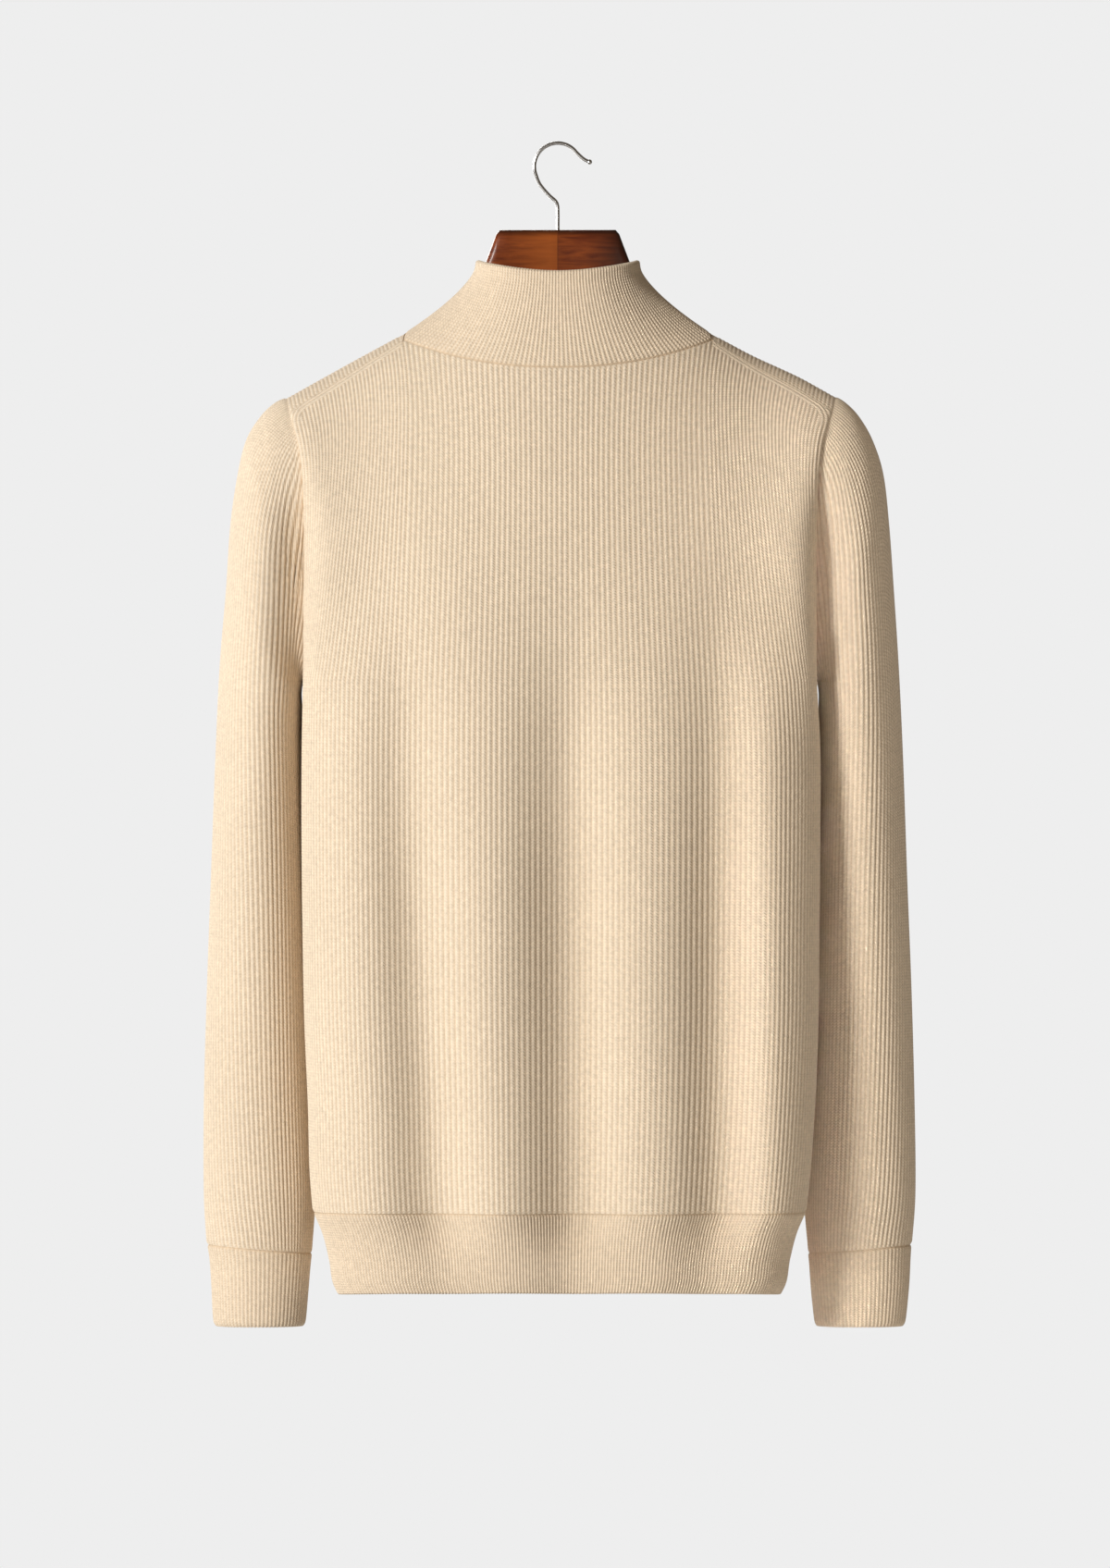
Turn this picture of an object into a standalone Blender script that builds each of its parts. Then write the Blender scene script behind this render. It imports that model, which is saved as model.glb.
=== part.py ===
"""A zip-up ribbed cardigan, filled out and hanging on a wooden hanger with a wire hook.

Metres, +Z up. The wearer's left is +X, the garment's front faces -Y, and the origin is the
inner underside of the hook's crown, where a rail carries it. Cloth pieces are walls: an outer
grid of points with ribs raised in it, over a plain inner grid.
"""

import math

import bmesh
import bpy
import numpy as np
from mathutils import Vector

# ---------------------------------------------------------------- driving dimensions
WALL = 0.0025  # knit wall
RIB_RISE = 0.0008  # rib crest over its groove
BAND_RISE = 0.00056  # the same on the hem band and the cuffs, whose ribs are finer
EDGE_RISE = 0.25  # share of the rise that the ribs beside a seam keep
SEAM_GAP = 0.0003  # gap between two pieces at a seam
UNDERARM_Z = -0.395
HEM_SEAM_Z = -0.783
FRONT_EDGE_X = 0.0045  # half the slot that the zip chain fills
NECK_X = 0.1135  # half the neckline's width at the shoulder
NECK_BACK_Z = -0.1661
NECK_BACK_RISE = 0.0222
NECK_FRONT_Y = 0.0757
NECK_POWER = 2.2  # roundness of the neckline
NECK_LEAD_Y = -0.018  # the front neckline starts this far behind the shoulder's ridge
RIDGE_SLOPE = 0.58  # fall of the shoulder's ridge, and its height and x at the neck
RIDGE_ROUND = 0.05
RIDGE_NECK_Z = -0.139
RIDGE_NECK_X = 0.1125
SHOULDER_X = 0.197
SEAM_DROP_NECK = 0.005  # how far the shoulder seam lies below the ridge at the neck
SEAM_DROP_ARM = 0.012  # and at the armhole
ARMHOLE_HEIGHT = 0.2084
CHEST_X = 0.188
CHEST_Y = 0.0935
BACK_DEPTH = 0.092
FRONT_DEPTH = 0.095
ARMHOLE_HALF_DEPTH = 0.052
SIDE_SHIFT = 0.012  # the side seam lies this far behind the middle
SHIFT_HEIGHT = 0.06  # and reaches that this far below the underarm
SECTION_POWER = 2.5  # roundness of a torso section: 2 is an ellipse
SHOULDER_POWER = 1.4
EDGE_POWER = 6.0  # how far the armhole's fullness reaches into a panel: less is further
EDGE_POWER_LOW = 12.0  # the same at the underarm
EDGE_LOW_SHARE = 0.45  # share of the armhole's height over which the one turns into the other

NECK_COLUMNS = 16  # grid columns from the centre to the neck corner, two to a rib
SHOULDER_COLUMNS = 16  # and from there to the armhole
INNER_STEP = 4  # the inner wall keeps every fourth column
LOW_ROWS = 6  # rows below the underarm
BACK_ROWS = 7  # rows above it on the back
FRONT_ROWS = 9  # and on the fronts, which pass over the shoulder
SLEEVE_STEP = 4  # sleeve columns to each armhole row
FINE = 4  # the directions out of the cloth are read from a grid this much finer

# height, left side x, right side x, back depth, front depth
BODY = np.array(
    [
        (-0.783, 0.1788, 0.1816, 0.082, 0.081),
        (-0.757, 0.1809, 0.1843, 0.084, 0.083),
        (-0.709, 0.1822, 0.1877, 0.087, 0.086),
        (-0.641, 0.1850, 0.1904, 0.089, 0.088),
        (-0.573, 0.1863, 0.1911, 0.090, 0.090),
        (-0.505, 0.1870, 0.1918, 0.091, 0.092),
        (-0.437, 0.1868, 0.1915, 0.092, 0.094),
        (-0.395, 0.1860, 0.1890, 0.092, 0.095),
    ]
)
# share of the armhole's height, left armhole x, right armhole x
ARMHOLE = np.array(
    [
        (0.00, 0.1860, 0.1890),
        (0.31, 0.1856, 0.1890),
        (0.59, 0.1857, 0.1897),
        (0.72, 0.1870, 0.1910),
        (0.82, 0.1902, 0.1940),
        (0.89, 0.1938, 0.1980),
        (0.95, 0.1970, 0.2015),
        (1.00, 0.1990, 0.2035),
    ]
)
# side (+1 back, -1 front), x at the chest, x at the hem, width, depth at the hem
FOLDS = np.array(
    [
        (1, 0.1210, 0.0885, 0.031, 0.0130),
        (1, -0.0030, -0.0130, 0.034, 0.0150),
        (1, -0.1190, -0.1205, 0.029, 0.0145),
        (-1, 0.1250, 0.1120, 0.030, 0.0120),
        (-1, 0.0620, 0.0520, 0.026, 0.0080),
        (-1, -0.0700, -0.0580, 0.028, 0.0095),
        (-1, -0.1320, -0.1190, 0.030, 0.0115),
    ]
)
FOLD_START_Z = -0.22
FOLD_FULL_Z = -0.60
FOLD_LEAN_Z = -0.30  # below this the folds lean from their chest x to their hem x

# outer z, left outer x, right outer x, inner z, left inner x, right inner x, half depth, middle y
SLEEVE = np.array(
    [
        (-0.1905, 0.2075, 0.2112, -0.3965, 0.1882, 0.1914, 0.0530, -0.001),
        (-0.2000, 0.2176, 0.2205, -0.3985, 0.1888, 0.1922, 0.0545, -0.003),
        (-0.2170, 0.2281, 0.2305, -0.4015, 0.1892, 0.1927, 0.0560, -0.006),
        (-0.2420, 0.2345, 0.2386, -0.4060, 0.1895, 0.1931, 0.0575, -0.010),
        (-0.2790, 0.2400, 0.2430, -0.4130, 0.1892, 0.1932, 0.0590, -0.015),
        (-0.3270, 0.2434, 0.2466, -0.4250, 0.1892, 0.1934, 0.0600, -0.020),
        (-0.3830, 0.2482, 0.2504, -0.4460, 0.1888, 0.1932, 0.0600, -0.026),
        (-0.4510, 0.2516, 0.2538, -0.4830, 0.1878, 0.1926, 0.0580, -0.032),
        (-0.5395, 0.2550, 0.2570, -0.5520, 0.1862, 0.1908, 0.0530, -0.036),
        (-0.6200, 0.2580, 0.2602, -0.6240, 0.1845, 0.1892, 0.0480, -0.039),
        (-0.7000, 0.2603, 0.2625, -0.7020, 0.1822, 0.1862, 0.0430, -0.041),
        (-0.7700, 0.2605, 0.2633, -0.7720, 0.1800, 0.1830, 0.0380, -0.042),
        (-0.8094, 0.2584, 0.2607, -0.8155, 0.1822, 0.1856, 0.0330, -0.042),
    ]
)
CUFF = np.array(
    [
        (-0.8200, 0.2566, 0.2600, -0.8255, 0.1834, 0.1866, 0.0305, -0.042),
        (-0.8400, 0.2552, 0.2590, -0.8450, 0.1850, 0.1880, 0.0290, -0.042),
        (-0.8640, 0.2540, 0.2566, -0.8650, 0.1868, 0.1902, 0.0278, -0.042),
        (-0.8690, 0.2525, 0.2550, -0.8690, 0.1882, 0.1915, 0.0265, -0.042),
    ]
)
# height, share of the width, share of the depth
HEM = np.array(
    [
        (-0.797, 0.958, 0.950),
        (-0.819, 0.934, 0.925),
        (-0.838, 0.915, 0.910),
        (-0.843, 0.895, 0.895),
    ]
)

COLLAR_ROWS = 5
COLLAR_TOP_X = 0.0585
COLLAR_TOP_BACK_Y = 0.050
COLLAR_TOP_FRONT_Y = -0.063
COLLAR_TOP_POWER = 2.7
COLLAR_BACK_Z = -0.0937
COLLAR_SIDE_Z = -0.0869
COLLAR_FRONT_Z = -0.142

TAPE_WIDTH = 0.0110
TAPE_THICK = 0.0008
CHAIN_HALF_WIDTH = 0.0028
CHAIN_THICK = 0.0020
CHAIN_DEPTH = 0.0004  # the chain's face lies this far under the cloth's face
SLIDER_LENGTH = 0.013
SLIDER_WIDTH = 0.0082
SLIDER_PROUD = 0.0012
SLIDER_THICK = 0.0032
BRIDGE_HALF_LENGTH = 0.004
BRIDGE_RISE = 0.0030
BRIDGE_WIRE = 0.0006
PULL_AXIS_DOWN = 0.0015  # the pull's bar lies this far below the bridge's middle
PULL_AXIS_OUT = 0.0012
PULL_HALF_THICK = 0.0005
PULL_EYE = 0.0070
PULL_LENGTH = 0.030
PULL_WIDTH = 0.0058
PULL_SIDE_BAR = 0.0011
PULL_CORNER = 0.0012
PULL_CLEAR = 0.0006
BOX_LENGTH = 0.010
BOX_HALF_WIDTH = 0.0041
BOX_PROUD = 0.0004
BOX_DEEP = 0.0024
BOX_BOTTOM = 0.001  # the box's end over the hem's edge
SLIDER_TOP = 0.003  # the slider's end under the collar's edge
TAPE_GAP = 0.0004
# share of the half length, share of the half width: the slider's outline from its tail up
SLIDER_OUTLINE = ((-1.0, 0.68), (-0.4, 0.80), (0.45, 1.0), (1.0, 0.92))
BRIDGE_SINK = 0.0006  # the bridge's feet start this far inside the slider
BRIDGE_SHAPE = 0.45

HANGER_TOP_Z = -0.0625
WIRE_RADIUS = 0.00135
HOOK_RADIUS = 0.0172
BALL_RADIUS = 0.0019
HOLE_DEPTH = 0.020
HOLE_CLEAR = 0.0004
# x, z of the wire's middle line below and above the round crown
HOOK_NECK = ((0.0, -0.060), (0.0, -0.050), (0.0003, -0.0445), (0.0018, -0.0412), (0.0058, -0.0376),
             (0.0105, -0.0325), (0.0140, -0.0275))
HOOK_LIP = ((-0.0178, -0.0094), (-0.0205, -0.0113), (-0.0226, -0.0122))
# x, top z, bottom z, half thickness: the hanger's sections from its middle to a shoulder end
HANGER = np.array(
    [
        (0.0000, -0.0625, -0.1240, 0.0090),
        (0.0425, -0.0625, -0.1270, 0.0090),
        (0.0452, -0.0655, -0.1275, 0.0090),
        (0.0525, -0.0850, -0.1290, 0.0090),
        (0.0600, -0.1035, -0.1310, 0.0092),
        (0.0740, -0.1235, -0.1420, 0.0100),
    ]
)
HANGER_ARM_X = 0.098
HANGER_END_X = 0.1905
HANGER_END = (0.004, 0.007, 0.004, 0.012)  # the rounded end: longer by, lower, higher, half thickness
HANGER_THICK = (0.0100, 0.0130)  # an arm's half thickness at its neck and at its end
HANGER_HEIGHT = (0.022, 0.026)
HANGER_DROP = 0.0059  # its arms' tops lie this far under the cloth's face
HANGER_COLLAR_DROP = 0.0112  # and this much further under the collar's seam

COLOURS = {
    "knit": (0.80, 0.66, 0.48),
    "tape": (0.74, 0.62, 0.46),
    "metal": (0.62, 0.60, 0.57),
    "wood": (0.22, 0.055, 0.025),
    "chrome": (0.78, 0.78, 0.78),
}


# ---------------------------------------------------------------- small maths
def through(t, knots, values):
    """A smooth curve through (knots, values), read at t: cubic pieces with central slopes."""
    slopes = np.gradient(values, knots)
    t = np.clip(t, knots[0], knots[-1])
    i = np.clip(np.searchsorted(knots, t) - 1, 0, len(knots) - 2)
    width = knots[i + 1] - knots[i]
    s = (t - knots[i]) / width
    rise = values[i + 1] - values[i]
    a = slopes[i] * width
    b = slopes[i + 1] * width
    return values[i] + s * (a + s * (3 * rise - 2 * a - b + s * (a + b - 2 * rise)))


def smooth(t):
    """0 to 1 with level ends."""
    t = np.clip(t, 0.0, 1.0)
    return t * t * (3 - 2 * t)


def unit(v):
    return v / np.maximum(np.linalg.norm(v, axis=-1, keepdims=True), 1e-12)


def along(points, count):
    """count + 1 points at equal steps of arc length along a dense line of points."""
    steps = np.linalg.norm(np.diff(points, axis=0), axis=1)
    run = np.concatenate([[0.0], np.cumsum(steps)])
    want = np.linspace(0.0, run[-1], count + 1)
    return np.stack([np.interp(want, run, points[:, k]) for k in range(points.shape[1])], axis=1)


def grid_normals(grid, flip):
    """Unit normals of a grid of points, from its rows' and columns' directions."""
    across = np.gradient(grid, axis=1)
    up = np.gradient(grid, axis=0)
    return unit(np.cross(across, up)) * flip


# ---------------------------------------------------------------- the torso's surface
def ridge_z(x):
    """Height of the shoulder's ridge at a distance x from the middle: a rounded slope."""
    run = np.hypot(x, RIDGE_ROUND) - math.hypot(RIDGE_NECK_X, RIDGE_ROUND)
    return RIDGE_NECK_Z - RIDGE_SLOPE * run


def armhole_x(side, share):
    """The armhole's x at a share of its height; side is +1 for the wearer's left."""
    return through(share, ARMHOLE[:, 0], ARMHOLE[:, 1 if side > 0 else 2])


def fold_depth(x, z, face):
    """How far the soft troughs of one face (+1 back, -1 front) sink at x, z."""
    depth = np.zeros(np.broadcast(x, z).shape)
    fade = np.sin(np.pi / 2 * np.clip((FOLD_START_Z - z) / (FOLD_START_Z - FOLD_FULL_Z), 0, 1))
    drop = np.clip((FOLD_LEAN_Z - z) / (FOLD_LEAN_Z - HEM_SEAM_Z), 0, 1)
    for fold_face, x_chest, x_hem, width, deepest in FOLDS:
        if fold_face == face:
            middle = x_chest + (x_hem - x_chest) * drop
            depth = depth + deepest * fade * np.exp(-(((x - middle) / width) ** 2))
    return depth


def section_shares(fine):
    """Shares of the half width at even steps of arc length round the chest's section."""
    angle = np.linspace(0.0, np.pi / 2, 400)
    x = CHEST_X * np.sin(angle) ** (2 / SECTION_POWER)
    y = CHEST_Y * np.cos(angle) ** (2 / SECTION_POWER)
    even = along(np.stack([x, y], axis=1), (NECK_COLUMNS + SHOULDER_COLUMNS) * fine)
    return even[:, 0] / CHEST_X


def seam_drop(x):
    """How far the set-back shoulder seam lies below the ridge."""
    share = np.clip((x - NECK_X) / (SHOULDER_X - NECK_X), 0, 1)
    return SEAM_DROP_NECK + (SEAM_DROP_ARM - SEAM_DROP_NECK) * share


def angle_at_share(share):
    """The section angle whose share of height is given: share = sin(angle / 2) squared."""
    return 2 * np.arcsin(np.sqrt(np.clip(share, 0, 1)))


# where the shoulder seam meets the armhole
SEAM_ANGLE = float(angle_at_share(1 - SEAM_DROP_ARM / ARMHOLE_HEIGHT))


def upper_point(side, face, share_x, edge_angle, angle):
    """A torso point above the underarm: share_x of the way to the armhole, at a section angle
    that runs from 0 at the underarm over pi at the shoulder's ridge."""
    edge_share = np.sin(edge_angle / 2) ** 2
    start = FRONT_EDGE_X if face < 0 else 0.0
    x = start + (armhole_x(side, edge_share) - start) * share_x
    share = np.sin(angle / 2) ** 2
    z = UNDERARM_Z + (ridge_z(x) - UNDERARM_Z) * share
    deep = BACK_DEPTH if face > 0 else FRONT_DEPTH
    middle = deep * np.sqrt(np.clip(1 - share**2, 0, 1)) * np.where(angle > np.pi, -1, 1)
    edge = ARMHOLE_HALF_DEPTH * np.sin(angle)
    power = SECTION_POWER - (SECTION_POWER - SHOULDER_POWER) * np.sqrt(edge_share)
    bulge = np.clip(1 - share_x**SECTION_POWER, 0, 1) ** (1 / power)
    reach = EDGE_POWER + (EDGE_POWER_LOW - EDGE_POWER) * (1 - smooth(edge_share / EDGE_LOW_SHARE))
    y = edge * share_x**reach + middle * bulge
    y = face * (y - fold_depth(side * x, z, face) * (1 - share_x**6) * (angle < np.pi))
    return np.stack([side * x, y, z], axis=-1)


def lower_point(side, face, share_x, z):
    """A torso point at height z between the hem seam and the underarm."""
    edge = through(z, BODY[:, 0], BODY[:, 1 if side > 0 else 2])
    deep = through(z, BODY[:, 0], BODY[:, 3 if face > 0 else 4])
    start = FRONT_EDGE_X if face < 0 else 0.0
    x = start + (edge - start) * share_x
    shift = SIDE_SHIFT * smooth((UNDERARM_Z - z) / SHIFT_HEIGHT)
    bulge = np.clip(1 - share_x**SECTION_POWER, 0, 1) ** (1 / SECTION_POWER)
    y = shift + (face * deep - shift) * bulge
    y = y - face * fold_depth(side * x, z, face) * (1 - share_x**6)
    return np.stack([side * x, y, z + 0 * share_x], axis=-1)


def neck_tops(face, side, fine):
    """For one half panel: share of width and section angle of each column's top point."""
    top_x = float(armhole_x(side, np.sin(SEAM_ANGLE / 2) ** 2))
    start = FRONT_EDGE_X if face < 0 else 0.0
    seam_x = np.linspace(NECK_X, top_x, SHOULDER_COLUMNS * fine + 1)
    reach = ridge_z(seam_x) - UNDERARM_Z
    seam_angle = angle_at_share(1 - seam_drop(seam_x) / reach)
    if face > 0:
        x = np.linspace(0.0, NECK_X, NECK_COLUMNS * fine + 1)
        z = NECK_BACK_Z + NECK_BACK_RISE * (x / NECK_X) ** NECK_POWER
        corner_z = ridge_z(NECK_X) - seam_drop(NECK_X)
        z = z + (corner_z - z[-1]) * (x / NECK_X) ** NECK_POWER
        neck_angle = angle_at_share((z - UNDERARM_Z) / (ridge_z(x) - UNDERARM_Z))
    else:
        seam_angle = 2 * np.pi - seam_angle
        x, neck_angle = front_neckline(side, seam_angle[0], fine)
    x = np.concatenate([x[:-1], seam_x])
    angle = np.concatenate([neck_angle[:-1], seam_angle])
    return (x - start) / (top_x - start), angle


def front_neckline(side, corner_angle, fine):
    """x and section angle along the front neckline, whose plan is half a rounded oval."""
    turn = np.linspace(0.0, np.pi / 2, 300)
    plan_x = NECK_X * np.cos(turn) ** (2 / NECK_POWER)
    plan_y = NECK_FRONT_Y * np.sin(turn) ** (2 / NECK_POWER)
    lead_y = np.linspace(NECK_LEAD_Y, 0.0, 40)[:-1]
    plan_x = np.concatenate([np.full(39, NECK_X), plan_x])
    plan_y = np.concatenate([lead_y, plan_y])
    keep = plan_x >= FRONT_EDGE_X
    plan = np.stack([plan_x[keep], plan_y[keep]], axis=1)
    plan = np.concatenate([plan, [[FRONT_EDGE_X, NECK_FRONT_Y]]])
    top_x = float(armhole_x(side, np.sin(SEAM_ANGLE / 2) ** 2))
    low = np.full(len(plan), 0.2)
    high = np.full(len(plan), corner_angle)
    share_x = (plan[:, 0] - FRONT_EDGE_X) / (top_x - FRONT_EDGE_X)
    for _ in range(40):
        mid = (low + high) / 2
        y = -upper_point(side, -1, share_x, np.full(len(plan), 2 * np.pi - SEAM_ANGLE), mid)[:, 1]
        low = np.where(y > plan[:, 1], mid, low)
        high = np.where(y > plan[:, 1], high, mid)
    z = upper_point(side, -1, share_x, np.full(len(plan), 2 * np.pi - SEAM_ANGLE), mid)[:, 2]
    line = np.stack([plan[:, 0], plan[:, 1], z, mid], axis=1)
    line[0, 3] = corner_angle
    steps = np.concatenate([[0.0], np.cumsum(np.linalg.norm(np.diff(line[:, :3], axis=0), axis=1))])
    want = np.linspace(0.0, steps[-1], NECK_COLUMNS * fine + 1)
    x = np.interp(want, steps, line[:, 0])
    angle = np.interp(want, steps, line[:, 3])
    return x[::-1], angle[::-1]


def half_panel(side, face, fine=1):
    """Outer points of one half of the torso, rows from the hem seam up, columns outwards."""
    low_share = section_shares(fine)
    top_share, top_angle = neck_tops(face, side, fine)
    heights = np.linspace(HEM_SEAM_Z, UNDERARM_Z, LOW_ROWS * fine + 1)
    rows = [lower_point(side, face, low_share, z) for z in heights]
    edge_top = SEAM_ANGLE if face > 0 else 2 * np.pi - SEAM_ANGLE
    count = BACK_ROWS if face > 0 else FRONT_ROWS
    for v in np.linspace(0.0, 1.0, count * fine + 1)[1:]:
        share_x = low_share + (top_share - low_share) * smooth(v)
        rows.append(upper_point(side, face, share_x, np.full(len(share_x), edge_top * v), top_angle * v))
    return np.array(rows)


# ---------------------------------------------------------------- seams
def finer(values, step):
    """The same open line with step straight parts to each of its parts."""
    old = np.arange(len(values))
    new = np.linspace(0, len(values) - 1, (len(values) - 1) * step + 1)
    return np.stack([np.interp(new, old, values[:, k]) for k in range(values.shape[1])], axis=1)


# ---------------------------------------------------------------- walls
def ribbed(grid, normals, rise, closed=False):
    """Raise every other column along its normal, fading out at the rows' and the open ends."""
    rows, columns = grid.shape[:2]
    crest = (np.arange(columns) % 2) * rise
    row_fade = np.minimum(1.0, np.minimum(np.arange(rows), np.arange(rows)[::-1]))
    if not closed:
        crest[[0, 1, -2, -1]] *= EDGE_RISE
    return grid + normals * crest[None, :, None] * row_fade[:, None, None]


def wall_object(name, outer, inner, step, closed, colour, parts):
    """A closed wall between an outer grid and an inner grid with every step-th column."""
    rows, columns = outer.shape[:2]
    inner_columns = inner.shape[1]
    points = np.concatenate([outer.reshape(-1, 3), inner.reshape(-1, 3)])
    base = rows * columns

    def out_at(r, c):
        return r * columns + c % columns

    def in_at(r, c):
        return base + r * inner_columns + c % inner_columns

    faces = []
    outer_cells = columns if closed else columns - 1
    inner_cells = inner_columns if closed else inner_columns - 1
    for r in range(rows - 1):
        for c in range(outer_cells):
            faces.append((out_at(r, c), out_at(r, c + 1), out_at(r + 1, c + 1), out_at(r + 1, c)))
        for c in range(inner_cells):
            faces.append((in_at(r, c), in_at(r + 1, c), in_at(r + 1, c + 1), in_at(r, c + 1)))
    for c in range(inner_cells):
        low = [out_at(0, c * step + k) for k in range(step, -1, -1)]
        faces.append((*low, in_at(0, c), in_at(0, c + 1)))
        top = [out_at(rows - 1, c * step + k) for k in range(step + 1)]
        faces.append((*top, in_at(rows - 1, c + 1), in_at(rows - 1, c)))
    if not closed:
        for r in range(rows - 1):
            last, last_in = columns - 1, inner_columns - 1
            faces.append((out_at(r, 0), out_at(r + 1, 0), in_at(r + 1, 0), in_at(r, 0)))
            faces.append((out_at(r + 1, last), out_at(r, last), in_at(r, last_in), in_at(r + 1, last_in)))
    return mesh_object(name, points, faces, colour, parts)


def mesh_object(name, points, faces, colour, parts):
    """A mesh object from points and faces, its normals made to point outwards."""
    mesh = bpy.data.meshes.new(name)
    mesh.from_pydata([tuple(map(float, p)) for p in points], [], faces)
    shape = bmesh.new()
    shape.from_mesh(mesh)
    bmesh.ops.recalc_face_normals(shape, faces=shape.faces)
    bmesh.ops.triangulate(shape, faces=shape.faces)
    if shape.calc_volume(signed=True) < 0:
        bmesh.ops.reverse_faces(shape, faces=shape.faces)
    shape.to_mesh(mesh)
    shape.free()
    thing = bpy.data.objects.new(name, mesh)
    parts.objects.link(thing)
    thing.data.materials.append(material(colour))
    return thing


def material(colour):
    """The Principled material of one of the named finishes."""
    found = bpy.data.materials.get(colour)
    if found:
        return found
    made = bpy.data.materials.new(colour)
    made.use_nodes = True
    shader = made.node_tree.nodes["Principled BSDF"]
    shader.inputs["Base Color"].default_value = (*COLOURS[colour], 1.0)
    shader.inputs["Metallic"].default_value = 1.0 if colour in ("metal", "chrome") else 0.0
    shader.inputs["Roughness"].default_value = {"wood": 0.25, "chrome": 0.1, "metal": 0.3}.get(colour, 0.9)
    return made


# ---------------------------------------------------------------- cloth pieces
def torso_frame():
    """The four half panels, and the directions that their shared seams are cut in."""
    halves, normals = {}, {}
    for side, face in ((1, 1), (1, -1), (-1, 1), (-1, -1)):
        fine_grid = half_panel(side, face, FINE)
        halves[side, face] = fine_grid[::FINE, ::FINE].copy()
        normals[side, face] = grid_normals(fine_grid, -side * face)[::FINE, ::FINE]
        if face > 0:  # the two halves of the back are one panel
            normals[side, face][:, 0, 0] = 0.0
            normals[side, face][:, 0] = unit(normals[side, face][:, 0])
    for side in (1, -1):
        share_seams(halves, normals, side)
    return halves, normals


def share_seams(halves, normals, side):
    """Give both panels of each seam one wall direction there."""
    back, front = halves[side, 1], halves[side, -1]
    back_n, front_n = normals[side, 1], normals[side, -1]
    back_n[: LOW_ROWS, -1] = (side, 0, 0)
    front_n[: LOW_ROWS, -1] = (side, 0, 0)
    for grid, n in ((back, back_n), (front, front_n)):
        loop = grid[LOW_ROWS:, -1]
        radial = loop - np.array([0, 0, (UNDERARM_Z + ridge_z(SHOULDER_X)) / 2])
        radial[:, 0] = 0.0
        radial[:, 1] *= 2.0
        n[LOW_ROWS:, -1] = unit(radial)
    corner = back_n[-1, -1]
    shoulder = unit(back_n[-1, NECK_COLUMNS:] + front_n[-1, NECK_COLUMNS:])
    blend = np.linspace(0, 1, SHOULDER_COLUMNS + 1)[:, None] ** 4
    shoulder = unit(shoulder * (1 - blend) + corner * blend)
    back_n[-1, NECK_COLUMNS:] = shoulder
    front_n[-1, NECK_COLUMNS:] = shoulder
    front[-1, NECK_COLUMNS:] = back[-1, NECK_COLUMNS:]


def pull_back(grid, inward, edges, armholes):
    """Move the named edges of a grid back from their seams by half the gap."""
    moved = grid.copy()
    half = SEAM_GAP / 2
    rows, columns = grid.shape[:2]
    lines = {
        "top": (slice(rows - 1, rows), slice(None), 1),
        "bottom": (slice(0, 1), slice(None), 1),
        "first": (slice(None), slice(0, 1), 0),
        "last": (slice(None), slice(columns - 1, columns), 0),
    }
    for name in edges:
        r, c, axis = lines[name]
        line = grid[r, c].reshape(-1, 3)
        ways = inward[r, c].reshape(-1, 3)
        across = unit(np.cross(np.gradient(line, axis=0), ways))
        toward = grid[r, c] - grid[
            (slice(rows - 2, rows - 1) if name == "top" else slice(1, 2)) if axis else r,
            c if axis else (slice(columns - 2, columns - 1) if name == "last" else slice(1, 2)),
        ]
        sign = np.sign(np.sum(across * toward.reshape(-1, 3)))
        shift = half * across * sign
        if name in armholes:
            upper = np.arange(rows) > LOW_ROWS
            shift[upper] = (half * np.sign(line[0, 0]), 0.0, 0.0)
            shift[LOW_ROWS] = shift[LOW_ROWS - 1] + (half * np.sign(line[0, 0]), 0.0, 0.0)
        moved[r, c] -= shift.reshape(grid[r, c].shape)
    return moved


def panel(name, grid, normals, edges, parts, rise=RIB_RISE, armholes=()):
    """A cloth wall from its plain outer points and the directions out of it; gives its inside."""
    plain = pull_back(grid, normals, edges, armholes)
    inner = (plain - normals * WALL)[:, ::INNER_STEP]
    outer = ribbed(plain, normals, rise)
    wall_object(name, outer, inner, INNER_STEP, False, "knit", parts)
    return inner


def build_torso(halves, normals, parts):
    """The back from its two halves, and the two fronts."""
    back = np.concatenate([halves[-1, 1][:, :0:-1], halves[1, 1]], axis=1)
    back_n = np.concatenate([normals[-1, 1][:, :0:-1], normals[1, 1]], axis=1)
    sides = ("first", "last")
    panel("back", back, back_n, ("top", "bottom", *sides), parts, armholes=sides)
    insides = {}
    for word, side in (("left", 1), ("right", -1)):
        insides[side] = panel(word + "_front", halves[side, -1], normals[side, -1],
                              ("top", "bottom", "last"), parts, armholes=("last",))
    return insides


def ring(row, side, turn):
    """A sleeve ring from its table row: an oval from its outer to its inner point."""
    outer_x, inner_x = (row[1], row[4]) if side > 0 else (row[2], row[5])
    across = (1 + np.cos(turn)) / 2
    x = inner_x + (outer_x - inner_x) * across
    z = row[3] + (row[0] - row[3]) * across
    y = row[7] + row[6] * np.sin(turn)
    return np.stack([side * x, y, z], axis=-1)


def sleeve_columns(halves, side):
    """The armhole loop's points and angles: up the back from the underarm, down the front."""
    back, front = halves[side, 1], halves[side, -1]
    loop = np.concatenate([back[LOW_ROWS:, -1], front[-2 : LOW_ROWS - 1 : -1, -1]])
    back_angle = SEAM_ANGLE * np.arange(BACK_ROWS + 1) / BACK_ROWS
    front_angle = (2 * np.pi - SEAM_ANGLE) * np.arange(FRONT_ROWS + 1) / FRONT_ROWS
    angle = np.concatenate([back_angle, 2 * np.pi - front_angle[-2::-1]])
    return loop, angle


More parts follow.
